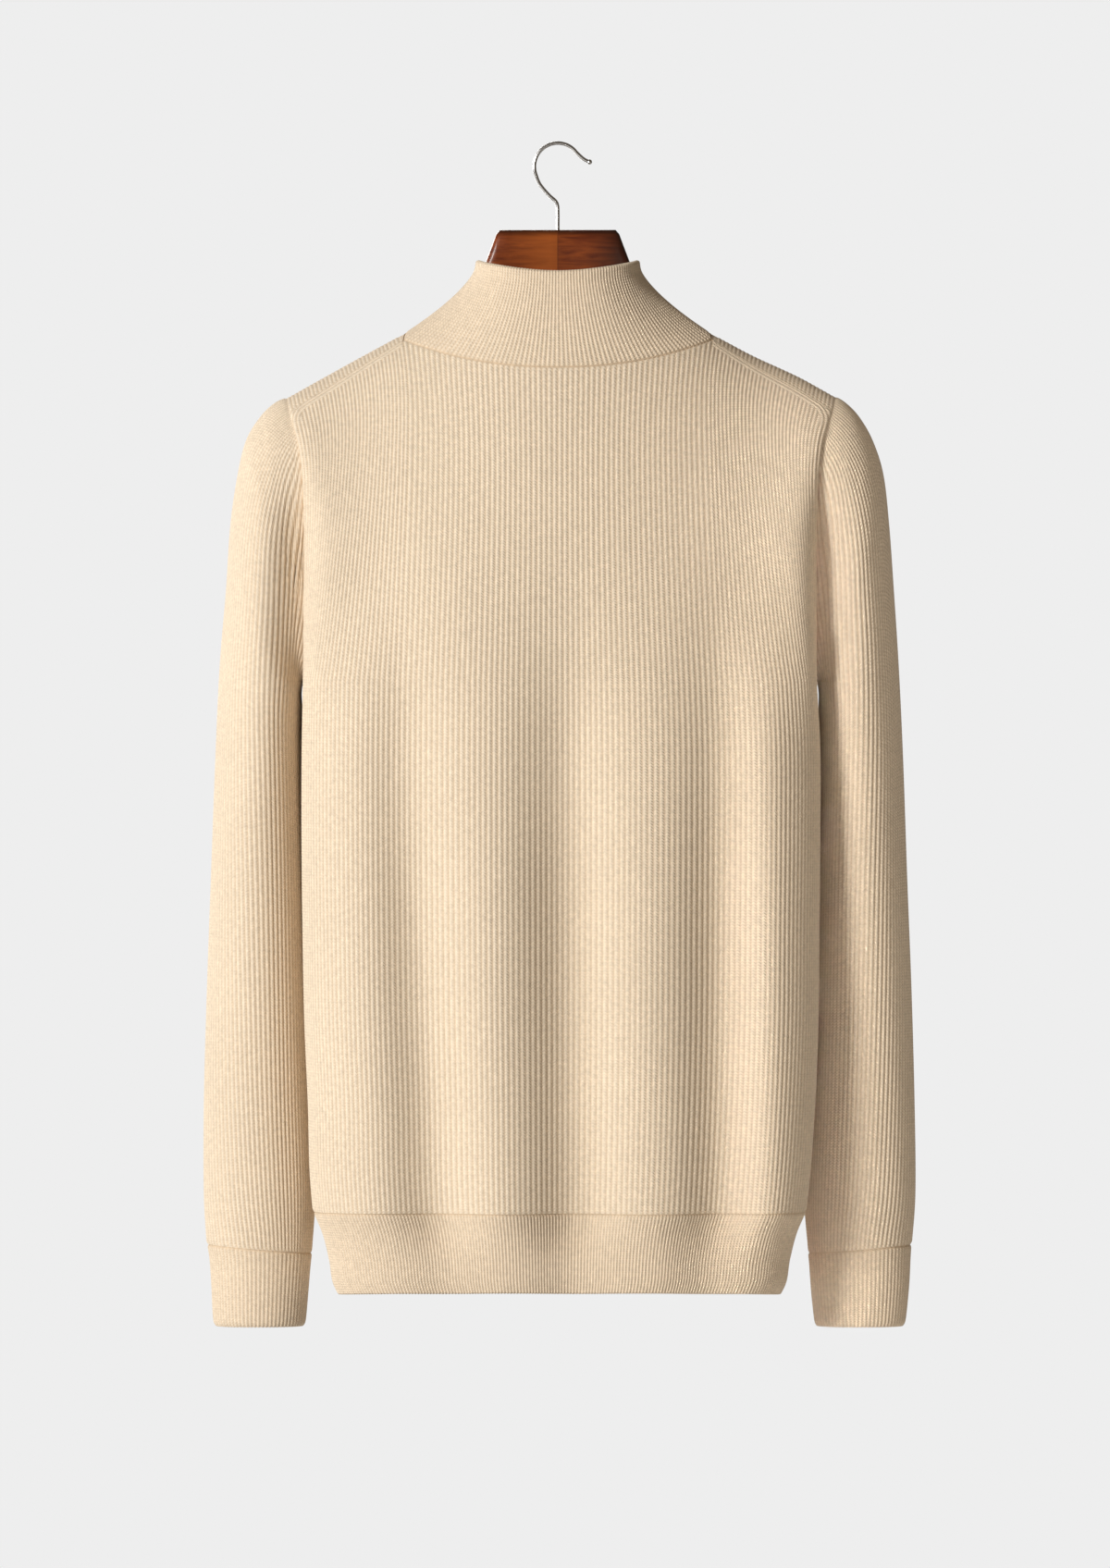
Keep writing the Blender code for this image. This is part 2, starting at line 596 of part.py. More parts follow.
def sleeve_grids(halves, side):
    """Sleeve and cuff outer points, rings outwards and down, the columns round the arm."""
    loop, angle = sleeve_columns(halves, side)
    first = finer(loop, SLEEVE_STEP)[:-1]
    angle = finer(angle[:, None], SLEEVE_STEP)[:-1, 0]
    turn = np.pi - angle
    sleeve = np.array([first] + [ring(row, side, turn) for row in SLEEVE])
    cuff = np.array([sleeve[-1]] + [ring(row, side, turn) for row in CUFF])
    return sleeve, cuff


def round_normals(grid, sign):
    """Normals of a grid whose columns close on themselves."""
    across = np.roll(grid, -1, axis=1) - np.roll(grid, 1, axis=1)
    up = np.gradient(grid, axis=0)
    return unit(np.cross(across, up)) * sign


def build_sleeve(halves, side, parts):
    """One sleeve and its cuff."""
    word = "left" if side > 0 else "right"
    sleeve, cuff = sleeve_grids(halves, side)
    sleeve_n = round_normals(sleeve, side)
    loop, _ = sleeve_columns(halves, side)
    radial = loop - np.array([0, 0, (UNDERARM_Z + ridge_z(SHOULDER_X)) / 2])
    radial[:, 0] = 0.0
    radial[:, 1] *= 2.0
    sleeve_n[0] = finer(unit(radial), SLEEVE_STEP)[:-1]
    whole_n = round_normals(np.concatenate([sleeve[:-1], cuff]), side)
    sleeve_n[-1] = whole_n[len(sleeve) - 1]
    cuff_n = round_normals(cuff, side)
    cuff_n[0] = sleeve_n[-1]
    half = SEAM_GAP / 2
    sleeve[0, :, 0] += side * half
    sleeve[-1, :, 2] += half
    cuff[0, :, 2] -= half
    for name, grid, n, rise in (
        (word + "_sleeve", sleeve, sleeve_n, RIB_RISE),
        (word + "_cuff", cuff, cuff_n, BAND_RISE),
    ):
        inner = (grid - n * WALL)[:, ::SLEEVE_STEP]
        outer = ribbed(grid, n, rise, closed=True)
        wall_object(name, outer, inner, SLEEVE_STEP, True, "knit", parts)


def hem_line(halves):
    """The hem seam from the left front edge round the back to the right front edge."""
    left = halves[1, -1][0]
    back = np.concatenate([halves[1, 1][0, ::-1], halves[-1, 1][0, 1:]])
    right = halves[-1, -1][0, ::-1]
    return np.concatenate([left, back[1:], right[1:]])


def neck_line(halves, normals):
    """The neckline in the same order, with the torso's normals along it."""
    n = NECK_COLUMNS
    pieces, ways = [], []
    for values, out in ((halves, pieces), (normals, ways)):
        left = values[1, -1][-1, : n + 1]
        back = np.concatenate([values[1, 1][-1, n::-1], values[-1, 1][-1, 1 : n + 1]])
        right = values[-1, -1][-1, n::-1]
        out.append(np.concatenate([left, back[1:], right[1:]]))
    return pieces[0], ways[0]


def hem_grid(halves):
    """The hem band's outer points, from its lower edge up."""
    top = hem_line(halves)
    rows = [top]
    for z, wide, deep in HEM:
        row = top * (wide, deep, 0.0)
        free = np.abs(top[:, 0]) <= FRONT_EDGE_X + 1e-6
        row[free, 0] = top[free, 0]
        row[:, 2] = z
        rows.append(row)
    return np.array(rows[::-1])


def collar_top(share):
    """The collar's upper edge at a share of the way round from the left front edge."""
    turn = np.linspace(0.0, 2 * np.pi, 1600)
    x = COLLAR_TOP_X * np.sign(np.sin(turn)) * np.abs(np.sin(turn)) ** (2 / COLLAR_TOP_POWER)
    bulge = np.abs(np.cos(turn)) ** (2 / COLLAR_TOP_POWER)
    y = np.where(np.cos(turn) > 0, COLLAR_TOP_FRONT_Y, COLLAR_TOP_BACK_Y) * bulge
    keep = ~((np.cos(turn) > 0) & (np.abs(x) < FRONT_EDGE_X))
    line = np.stack([x[keep], y[keep]], axis=1)
    line[0, 0] = FRONT_EDGE_X
    line[-1, 0] = -FRONT_EDGE_X
    steps = np.concatenate([[0.0], np.cumsum(np.linalg.norm(np.diff(line, axis=0), axis=1))])
    steps = steps / steps[-1]
    x = np.interp(share, steps, line[:, 0])
    y = np.interp(share, steps, line[:, 1])
    away = np.abs(2 * share - 1)  # 0 at the centre back, 1 at the centre front
    back = COLLAR_BACK_Z + (COLLAR_SIDE_Z - COLLAR_BACK_Z) * np.sin(np.pi * np.clip(away, 0, 0.5)) ** 2
    front = (COLLAR_FRONT_Z - COLLAR_SIDE_Z) * smooth((away - 0.5) / 0.5)
    return np.stack([x, y, back + front], axis=-1)


def collar_grid(line):
    """The collar's outer points, from the neckline up to its free edge."""
    steps = np.concatenate([[0.0], np.cumsum(np.linalg.norm(np.diff(line, axis=0), axis=1))])
    top = collar_top(steps / steps[-1])
    rows = []
    for s in np.linspace(0.0, 1.0, COLLAR_ROWS + 1):
        plan = 1 - (1 - s) ** 1.5
        row = line + (top - line) * plan
        row[:, 2] = line[:, 2] + (top[:, 2] - line[:, 2]) * s
        rows.append(row)
    return np.array(rows)


def build_bands(halves, normals, parts):
    """The hem band and the collar, and the torso's wall directions along the neckline."""
    hem = hem_grid(halves)
    hem_n = grid_normals(hem, 1)
    hem_n = hem_n * np.sign((hem_n * hem * (1, 1, 0)).sum(axis=-1, keepdims=True))
    line, torso_n = neck_line(halves, normals)
    collar = collar_grid(line)
    collar_n = grid_normals(collar, 1)
    collar_n = collar_n * np.sign((collar_n * collar * (1, 1, 0)).sum(axis=-1, keepdims=True))
    collar_n[0] = unit(torso_n + collar_n[0])
    n = NECK_COLUMNS
    normals[1, -1][-1, : n + 1] = collar_n[0, : n + 1]
    normals[1, 1][-1, n::-1] = collar_n[0, n : 2 * n + 1]
    normals[-1, 1][-1, : n + 1] = collar_n[0, 2 * n : 3 * n + 1]
    normals[-1, -1][-1, n::-1] = collar_n[0, 3 * n :]
    for side in (1, -1):
        seam_way = normals[side, 1][-1, n:]
        normals[side, -1][-1, n:] = seam_way
    levels = unit(hem_line(normals) * (1, 1, 0))
    hem_n[-1] = levels
    start = 0
    for key, cut in (((1, -1), 1), ((1, 1), -1), ((-1, 1), 1), ((-1, -1), -1)):
        count = halves[key].shape[1]
        normals[key][0] = levels[start : start + count][::cut]
        start += count - 1
    hem_inside = panel("hem_band", hem, hem_n, ("top",), parts, rise=BAND_RISE)
    collar_inside = panel("collar", collar, collar_n, ("bottom",), parts)
    return hem, collar, hem_inside, collar_inside


# ---------------------------------------------------------------- the zip
def zip_path(halves, hem, collar):
    """(y, z) of the cloth's face down the centre front, from the hem's edge to the collar's."""
    body = halves[1, -1][:, 0, 1:]
    return np.concatenate([hem[:-1, 0, 1:], body, collar[1:, 0, 1:]])


def strip(name, path, x0, x1, near, far, colour, parts):
    """A flat strip along the zip from x0 to x1, between two depths under the cloth's face."""
    way = np.gradient(path, axis=0)
    way = way / np.linalg.norm(way, axis=1, keepdims=True)
    inward = np.stack([way[:, 1], -way[:, 0]], axis=1)  # towards +y
    inward = inward * np.sign(inward[:, :1])
    points, faces = [], []
    for (y, z), (iy, iz) in zip(path, inward):
        for x, depth in ((x0, near), (x1, near), (x1, far), (x0, far)):
            points.append((x, y + iy * depth, z + iz * depth))
    last = len(path) - 1
    for i in range(last):
        for k in range(4):
            a, b = 4 * i + k, 4 * i + (k + 1) % 4
            faces.append((a, b, b + 4, a + 4))
    faces.append((0, 1, 2, 3))
    faces.append((4 * last + 3, 4 * last + 2, 4 * last + 1, 4 * last))
    return mesh_object(name, np.array(points), faces, colour, parts)


def path_at(path, distance):
    """The point and the upward direction at a distance from the path's top end."""
    line = path[::-1]
    steps = np.concatenate([[0.0], np.cumsum(np.linalg.norm(np.diff(line, axis=0), axis=1))])
    here = np.array([np.interp(distance, steps, line[:, k]) for k in range(2)])
    ahead = np.array([np.interp(distance + 0.004, steps, line[:, k]) for k in range(2)])
    up = here - ahead
    return here, up / np.linalg.norm(up)


def cut_path(path, top_cut, bottom_cut):
    """The path without a length at each end."""
    steps = np.concatenate([[0.0], np.cumsum(np.linalg.norm(np.diff(path, axis=0), axis=1))])
    inside = (steps > bottom_cut + 0.002) & (steps < steps[-1] - top_cut - 0.002)
    ends = [np.array([np.interp(d, steps, path[:, k]) for k in range(2)])
            for d in (bottom_cut, steps[-1] - top_cut)]
    return np.concatenate([[ends[0]], path[inside], [ends[1]]])


def build_tape(name, side, rows, parts):
    """A tape behind one front edge, from the inside points of the cloth it is sewn to."""
    edge, next_in = rows[:, 0], rows[:, 1]
    way = np.gradient(edge[:, 1:], axis=0)
    inward = np.stack([way[:, 1], -way[:, 0]], axis=1)
    inward = inward / np.linalg.norm(inward, axis=1, keepdims=True) * np.sign(inward[:, :1])
    points, faces = [], []
    for k, x in ((0, SEAM_GAP / 2), (1, TAPE_WIDTH), (2, TAPE_WIDTH), (3, SEAM_GAP / 2)):
        share = np.maximum(x - FRONT_EDGE_X, 0) / (np.abs(next_in[:, 0]) - FRONT_EDGE_X)
        line = edge[:, 1:] + (next_in - edge)[:, 1:] * share[:, None]
        line = line + inward * (TAPE_GAP + (TAPE_THICK if k > 1 else 0.0))
        points.append(np.column_stack([np.full(len(line), side * x), line]))
    points = np.stack(points, axis=1).reshape(-1, 3)
    last = len(rows) - 1
    for i in range(last):
        for k in range(4):
            a, b = 4 * i + k, 4 * i + (k + 1) % 4
            faces.append((a, b, b + 4, a + 4))
    faces.append((0, 1, 2, 3))
    faces.append((4 * last + 3, 4 * last + 2, 4 * last + 1, 4 * last))
    mesh_object(name, points, faces, "tape", parts)


def build_zip(halves, hem, collar, insides, hem_inside, collar_inside, parts):
    """Tapes, chain, box, slider and pull down the centre front."""
    path = zip_path(halves, hem, collar)
    for word, side in (("left", 1), ("right", -1)):
        turned = 1 if side > 0 else -1
        rows = [hem_inside[:-1, ::turned][:, :2], insides[side][:, :2], collar_inside[1:, ::turned][:, :2]]
        build_tape("zip_tape_" + word, side, np.concatenate(rows), parts)
    chain = cut_path(path, SLIDER_TOP + SLIDER_LENGTH + SEAM_GAP, BOX_BOTTOM + BOX_LENGTH + SEAM_GAP)
    strip("zip_chain", chain, -CHAIN_HALF_WIDTH, CHAIN_HALF_WIDTH, CHAIN_DEPTH,
          CHAIN_DEPTH + CHAIN_THICK, "metal", parts)
    whole = np.concatenate([[0.0], np.cumsum(np.linalg.norm(np.diff(path, axis=0), axis=1))])[-1]
    box = cut_path(path, whole - BOX_BOTTOM - BOX_LENGTH, BOX_BOTTOM)
    strip("zip_box", box, -BOX_HALF_WIDTH, BOX_HALF_WIDTH, -BOX_PROUD, BOX_DEEP, "metal", parts)
    build_slider(path, parts)


def placed(points, origin, up, out):
    """Points given as (x, up, out) put at an origin in the zip's own plane."""
    points = np.asarray(points, float)
    y = origin[0] + points[:, 1] * up[0] + points[:, 2] * out[0]
    z = origin[1] + points[:, 1] * up[1] + points[:, 2] * out[1]
    return np.stack([points[:, 0], y, z], axis=1)


def build_slider(path, parts):
    """The slider's body with its bridge, and the pull tab hinged in the bridge."""
    origin, up = path_at(path, SLIDER_TOP + SLIDER_LENGTH / 2)
    out = np.array([-up[1], up[0]])
    out = out * np.sign(-out[0])
    half, wide = SLIDER_LENGTH / 2, SLIDER_WIDTH / 2
    outline = [(wide * w, half * t) for t, w in SLIDER_OUTLINE]
    outline += [(-x, t) for x, t in outline[::-1]]
    points = [(x, t, SLIDER_PROUD) for x, t in outline]
    points += [(x, t, SLIDER_PROUD - SLIDER_THICK) for x, t in outline]
    count = len(outline)
    faces = [tuple(range(count)), tuple(range(2 * count - 1, count - 1, -1))]
    faces += [(k, (k + 1) % count, count + (k + 1) % count, count + k) for k in range(count)]
    body = mesh_object("zip_slider", placed(points, origin, up, out), faces, "metal", parts)
    add_bridge(body, origin, up, out, parts)
    build_pull(path, origin, up, out, parts)


def tube(name, line, radius, sides, colour, parts):
    """A wire along a line of points: a poly curve with a round bevel and filled caps."""
    curve = bpy.data.curves.new(name, "CURVE")
    curve.dimensions = "3D"
    curve.bevel_depth = radius
    curve.bevel_resolution = sides
    curve.use_fill_caps = True
    spline = curve.splines.new("POLY")
    spline.points.add(len(line) - 1)
    for point, place in zip(spline.points, line):
        point.co = (*map(float, place), 1.0)
    thing = bpy.data.objects.new(name, curve)
    parts.objects.link(thing)
    thing.data.materials.append(material(colour))
    return thing


def as_mesh(thing, parts):
    """The same piece as a welded mesh, so that it can be joined or cut."""
    name = thing.name
    bpy.context.view_layer.update()
    graph = bpy.context.evaluated_depsgraph_get()
    mesh = bpy.data.meshes.new_from_object(thing.evaluated_get(graph))
    shape = bmesh.new()
    shape.from_mesh(mesh)
    bmesh.ops.remove_doubles(shape, verts=shape.verts, dist=1e-6)
    bmesh.ops.recalc_face_normals(shape, faces=shape.faces)
    shape.to_mesh(mesh)
    shape.free()
    matrix = thing.matrix_world.copy()
    bpy.data.objects.remove(thing)
    made = bpy.data.objects.new(name, mesh)
    made.matrix_world = matrix
    parts.objects.link(made)
    return made


def combine(thing, other, operation):
    """A Boolean of thing with other, which stays as a hidden helper."""
    helpers = bpy.data.collections["cardigan cutters"]
    for group in list(other.users_collection):
        group.objects.unlink(other)
    helpers.objects.link(other)
    other.hide_render = True
    other.display_type = "WIRE"
    change = thing.modifiers.new(operation.lower(), "BOOLEAN")
    change.operation = operation
    change.object = other
    change.solver = "EXACT"


def add_bridge(body, origin, up, out, parts):
    """The small arch over the slider's face that the pull's bar lies under."""
    turn = np.linspace(0.0, np.pi, 11)
    line = [(0.0, -BRIDGE_HALF_LENGTH * math.cos(t),
             SLIDER_PROUD - BRIDGE_SINK + (BRIDGE_RISE + BRIDGE_SINK) * math.sin(t) ** BRIDGE_SHAPE)
            for t in turn]
    arch = tube("zip_bridge", placed(line, origin, up, out), BRIDGE_WIRE, 2, "metal", parts)
    combine(body, as_mesh(arch, parts), "UNION")


def build_pull(path, origin, up, out, parts):
    """The pull tab: a bar under the bridge, two side bars and a plate, hanging on the cloth."""
    axis = origin - up * PULL_AXIS_DOWN + out * (SLIDER_PROUD + PULL_AXIS_OUT)
    foot, _ = path_at(path, SLIDER_TOP + SLIDER_LENGTH / 2 + PULL_AXIS_DOWN + PULL_LENGTH)
    foot = foot + out * (RIB_RISE + PULL_HALF_THICK + PULL_CLEAR)
    down = foot - axis
    down = down / np.linalg.norm(down)
    away = np.array([down[1], -down[0]])
    away = away * np.sign(-away[0])
    wide = PULL_WIDTH / 2
    hole = wide - PULL_SIDE_BAR
    bar = PULL_HALF_THICK
    tip = PULL_LENGTH
    plate = [(-wide, -tip + PULL_CORNER), (-wide + PULL_CORNER, -tip),
             (wide - PULL_CORNER, -tip), (wide, -tip + PULL_CORNER)]
    eye = [(-hole, -bar), (-hole, -PULL_EYE), (hole, -PULL_EYE), (hole, -bar)]
    frame = [(-wide, bar), (-wide, -PULL_EYE), (wide, -PULL_EYE), (wide, bar)]
    points, faces = [], []
    for level in (bar, -bar):
        points += [(x, t, level) for x, t in frame + eye + plate]
    size = len(frame + eye + plate)
    cells = [(0, 1, 5, 4), (1, 2, 6, 5), (2, 3, 7, 6), (3, 0, 4, 7), (1, 8, 9, 10, 11, 2)]
    for cell in cells:
        faces.append(cell)
        faces.append(tuple(size + k for k in cell[::-1]))
    outer = [0, 1, 8, 9, 10, 11, 2, 3]
    for loop in (outer, [4, 7, 6, 5]):
        for k, a in enumerate(loop):
            b = loop[(k + 1) % len(loop)]
            faces.append((a, size + a, size + b, b))
    shape = placed(points, (0.0, 0.0), -down, away)
    pull = mesh_object("zip_pull", shape, faces, "metal", parts)
    pull.location = (0.0, float(axis[0]), float(axis[1]))


# ---------------------------------------------------------------- hanger and hook
def hanger_sections():
    """The wooden hanger's half sections: the table's neck, then an arm under the shoulder."""
    arm_x = np.linspace(HANGER_ARM_X, HANGER_END_X, 7)
    share = (arm_x - arm_x[0]) / (arm_x[-1] - arm_x[0])
    under_collar = HANGER_COLLAR_DROP * (1 - smooth((arm_x - 0.110) / 0.030))
    top = ridge_z(arm_x) - HANGER_DROP - under_collar
    thick = HANGER_THICK[0] + (HANGER_THICK[1] - HANGER_THICK[0]) * smooth(share)
    bottom = top - HANGER_HEIGHT[0] - (HANGER_HEIGHT[1] - HANGER_HEIGHT[0]) * share
    arm = np.stack([arm_x, top, bottom, thick], axis=1)
    longer, lower, higher, end_thick = HANGER_END
    end = [HANGER_END_X + longer, top[-1] - lower, bottom[-1] + higher, end_thick]
    return np.concatenate([HANGER, arm, [end]])


def hanger_ring(x, top, bottom, thick, sides=12):
    """One upright section: a rounded bar, flatter below than above."""
    turn = np.linspace(0.0, 2 * np.pi, sides + 1)[:-1] + np.pi / sides
    middle, half = (top + bottom) / 2, (top - bottom) / 2
    power = 2 / (3.0 - smooth((abs(x) - 0.05) / 0.04))
    y = thick * np.sign(np.cos(turn)) * np.abs(np.cos(turn)) ** power
    z = middle + half * np.sign(np.sin(turn)) * np.abs(np.sin(turn)) ** power / math.sin(
        math.pi / 2 - math.pi / sides) ** power
    return np.stack([np.full(sides, x), y, z], axis=1)


def build_hanger(parts):
    """The hanger as one loft from end to end, with the hook's hole in its neck."""
    half = hanger_sections()
    rows = np.concatenate([half[:0:-1] * (-1, 1, 1, 1), half])
    rings = [hanger_ring(*row) for row in rows]
    sides = len(rings[0])
    points = np.concatenate(rings)
    faces = [tuple(range(sides)), tuple(len(points) - 1 - k for k in range(sides))]
    for i in range(len(rings) - 1):
        for k in range(sides):
            a, b = i * sides + k, i * sides + (k + 1) % sides
            faces.append((a, b, b + sides, a + sides))
    hanger = mesh_object("hanger", points, faces, "wood", parts)
    bpy.ops.mesh.primitive_cylinder_add(vertices=16, radius=WIRE_RADIUS + HOLE_CLEAR,
                                        depth=2 * HOLE_DEPTH, location=(0, 0, HANGER_TOP_Z))
    cutter = bpy.context.object
    cutter.name = "hook_hole_cutter"
    combine(hanger, cutter, "DIFFERENCE")


def hook_line():
    """The hook wire's middle line: shank, swan neck, round crown and a short lip."""
    foot = (0.0, HANGER_TOP_Z - HOLE_DEPTH + SEAM_GAP)
    middle_z = WIRE_RADIUS - HOOK_RADIUS
    turn = np.radians(np.arange(196, 26, -10.0))
    crown = [(-HOOK_RADIUS * math.cos(a), middle_z + HOOK_RADIUS * math.sin(a)) for a in turn]
    line = np.array([foot, *HOOK_NECK, *crown, *HOOK_LIP])
    return np.stack([line[:, 0], np.zeros(len(line)), line[:, 1]], axis=1)


def build_hook(parts):
    """The chrome wire hook and the ball on its end, as one solid."""
    line = hook_line()
    wire = as_mesh(tube("hook", line, WIRE_RADIUS, 2, "chrome", parts), parts)
    wire.data.materials.clear()
    wire.data.materials.append(material("chrome"))
    bpy.ops.mesh.primitive_uv_sphere_add(segments=12, ring_count=8, radius=BALL_RADIUS,
                                         location=Vector(line[-1]) + Vector((-0.0006, 0, -0.0001)))
    ball = bpy.context.object
    ball.name = "hook_ball"
    combine(wire, ball, "UNION")


# ---------------------------------------------------------------- the whole
def main():
    for thing in list(bpy.data.objects):
        bpy.data.objects.remove(thing)
    parts = bpy.data.collections.new("zip-up cardigan on a hanger")
    helpers = bpy.data.collections.new("cardigan cutters")
    bpy.context.scene.collection.children.link(parts)
    bpy.context.scene.collection.children.link(helpers)
    halves, normals = torso_frame()
    hem, collar, hem_inside, collar_inside = build_bands(halves, normals, parts)
    insides = build_torso(halves, normals, parts)
    for side in (1, -1):
        build_sleeve(halves, side, parts)
    build_zip(halves, hem, collar, insides, hem_inside, collar_inside, parts)
    build_hanger(parts)
    build_hook(parts)


main()
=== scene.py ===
# %% [markdown]
# # A zip-up ribbed cardigan on a wooden hanger
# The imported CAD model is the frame: every piece of cloth below lies on the solid that it replaces.
# The garment could be simulated cloth, but a knit that hangs on a hanger keeps the shape of its
# cut, so each piece is a surface worked out from a few tables, with every rib raised in it.

# %% Load the frame
import math

import bpy
import numpy as np
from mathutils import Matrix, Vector


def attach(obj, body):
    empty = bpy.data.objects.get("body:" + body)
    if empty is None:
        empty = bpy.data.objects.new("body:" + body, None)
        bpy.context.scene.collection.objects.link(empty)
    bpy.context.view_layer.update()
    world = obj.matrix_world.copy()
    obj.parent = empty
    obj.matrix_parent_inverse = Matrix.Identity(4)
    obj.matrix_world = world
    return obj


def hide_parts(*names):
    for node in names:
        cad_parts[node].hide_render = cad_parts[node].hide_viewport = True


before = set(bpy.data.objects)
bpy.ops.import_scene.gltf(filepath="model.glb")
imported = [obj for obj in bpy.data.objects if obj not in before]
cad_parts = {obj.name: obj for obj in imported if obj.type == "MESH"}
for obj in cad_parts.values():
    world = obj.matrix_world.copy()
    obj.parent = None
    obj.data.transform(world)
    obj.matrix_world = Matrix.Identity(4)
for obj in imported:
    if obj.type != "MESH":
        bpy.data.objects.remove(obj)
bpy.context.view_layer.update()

# %% [markdown]
# ## Small maths
# A maker draws a seam as a smooth line through a few measured points. Splines in Blender could do
# it, but arrays need a plain formula, so `through` is the same idea as a numpy function.


# %% Curves and directions
def through(t, knots, values):
    """Smooth line through (knots, values) read at t: on each stretch a cubic that has the knots'
    central slopes at its two ends. values may be numbers, points or whole rings of points."""
    knots = np.asarray(knots, float)
    values = np.asarray(values, float)
    t = np.clip(np.asarray(t, float), knots[0], knots[-1])
    slopes = np.gradient(values, knots, axis=0)
    i = np.clip(np.searchsorted(knots, t) - 1, 0, len(knots) - 2)
    shape = t.shape + (1,) * (values.ndim - 1)
    width = (knots[i + 1] - knots[i]).reshape(shape)
    s = ((t - knots[i]) / (knots[i + 1] - knots[i])).reshape(shape)
    rise = values[i + 1] - values[i]
    a = slopes[i] * width
    b = slopes[i + 1] * width
    return values[i] + s * (a + s * (3 * rise - 2 * a - b + s * (a + b - 2 * rise)))


def smooth(t):
    """3t squared less 2t cubed, from 0 to 1 with level ends."""
    t = np.clip(t, 0.0, 1.0)
    return t * t * (3 - 2 * t)


def unit(v):
    """Each vector divided by its length."""
    return v / np.maximum(np.linalg.norm(v, axis=-1, keepdims=True), 1e-12)


def bell(distance, reach):
    """1 at no distance, falling as e to the power of minus the square of distance over reach."""
    return np.exp(-((distance / reach) ** 2))


def run_of(line):
    """Distance from a line's first point to each of its points, along the line."""
    steps = np.linalg.norm(np.diff(line, axis=0), axis=-1)
    return np.concatenate([[0.0], np.cumsum(steps)])


def along(line, count):
    """count + 1 points at equal steps of length along a dense line."""
    run = run_of(line)
    want = np.linspace(0.0, run[-1], count + 1)
    return np.stack([np.interp(want, run, line[:, k]) for k in range(line.shape[1])], axis=1)


def surface_normals(grid, sign, closed=False):
    """Cross product of a grid's direction along its rows and up its columns, made a unit vector."""
    if closed:
        across = np.roll(grid, -1, axis=1) - np.roll(grid, 1, axis=1)
    else:
        across = np.gradient(grid, axis=1)
    return unit(np.cross(across, np.gradient(grid, axis=0))) * sign


# %% [markdown]
# ## The cut of the body
# A cardigan's body is two fronts and a back. The numbers are those of the CAD model: widths and
# depths at a few heights, the armhole's edge, and the soft folds that hang below the shoulder
# blades.

# %% The tables
UNDERARM_Z, HEM_SEAM_Z = -0.395, -0.783
FRONT_EDGE_X, NECK_X = 0.0045, 0.1135
NECK_BACK_Z, NECK_BACK_RISE, NECK_FRONT_Y, NECK_POWER = -0.1661, 0.0222, 0.0757, 2.2
RIDGE_SLOPE, RIDGE_ROUND, RIDGE_NECK_Z, RIDGE_NECK_X = 0.58, 0.05, -0.139, 0.1125
SHOULDER_X, ARMHOLE_HEIGHT = 0.197, 0.2084
SEAM_DROP_NECK, SEAM_DROP_ARM = 0.005, 0.012
ARMHOLE_HALF_DEPTH, SIDE_SHIFT, SHIFT_HEIGHT = 0.052, 0.012, 0.06
SECTION_POWER, SHOULDER_POWER = 2.9, 1.4
EDGE_POWER, EDGE_POWER_LOW, EDGE_LOW_SHARE = 6.0, 12.0, 0.45
UPPER_BACK_DEPTH, UPPER_FRONT_DEPTH = 0.092, 0.095
CHEST_X, CHEST_DEPTH = 0.188, 0.0935  # the section that spaces the ribs
RIGHT_LIFT, RIGHT_LIFT_X, RIGHT_LIFT_RUN = 0.0035, 0.135, 0.05  # the fuller right shoulder
WALL = 0.0025  # the cloth's thickness

# height, left side x, right side x, back depth, front depth
BODY = np.array([
    (-0.783, 0.1788, 0.1816, 0.082, 0.081),
    (-0.757, 0.1809, 0.1843, 0.084, 0.083),
    (-0.709, 0.1822, 0.1877, 0.087, 0.086),
    (-0.641, 0.1850, 0.1904, 0.089, 0.088),
    (-0.573, 0.1863, 0.1911, 0.090, 0.090),
    (-0.505, 0.1870, 0.1918, 0.091, 0.092),
    (-0.437, 0.1868, 0.1915, 0.092, 0.094),
    (-0.395, 0.1860, 0.1890, 0.092, 0.095),
])
# share of the armhole's height, left x, right x
ARMHOLE = np.array([
    (0.00, 0.1860, 0.1890), (0.31, 0.1856, 0.1890), (0.59, 0.1857, 0.1897), (0.72, 0.1870, 0.1910),
    (0.82, 0.1902, 0.1940), (0.89, 0.1938, 0.1980), (0.95, 0.1970, 0.2015), (1.00, 0.1990, 0.2035),
])
# side (+1 back, -1 front), x at the chest, x at the hem, width, depth at the hem
FOLDS = np.array([
    (1, 0.1210, 0.0885, 0.029, 0.0190), (1, -0.0030, -0.0130, 0.031, 0.0215),
    (1, -0.1190, -0.1205, 0.027, 0.0200), (1, -0.1520, -0.1590, 0.020, -0.0060),
    (-1, 0.1250, 0.1120, 0.030, 0.0120), (-1, 0.0620, 0.0520, 0.026, 0.0080),
    (-1, -0.0700, -0.0580, 0.028, 0.0095), (-1, -0.1320, -0.1190, 0.030, 0.0115),
])
FOLD_START_Z, FOLD_FULL_Z, FOLD_LEAN_Z, FOLD_EDGE_POWER = -0.27, -0.60, -0.30, 6
# the valley beside the armhole's seam, and the pinched rows by the underarm that are evened
SINK_DEPTH, SINK_TOP_Z, SINK_REACH_Z, SINK_POWER, SINK_SLEEVE = 0.020, -0.215, 0.10, 24, 0.021
PINCH_LOW_Z, PINCH_HIGH_Z, PINCH_REACH = -0.470, -0.350, 0.008
COLUMNS = 60  # ribs in half a panel, from the centre to the side seam
NECK_RIBS = 29  # of which this many end at the neckline
TURNS = 4  # grid columns to a rib


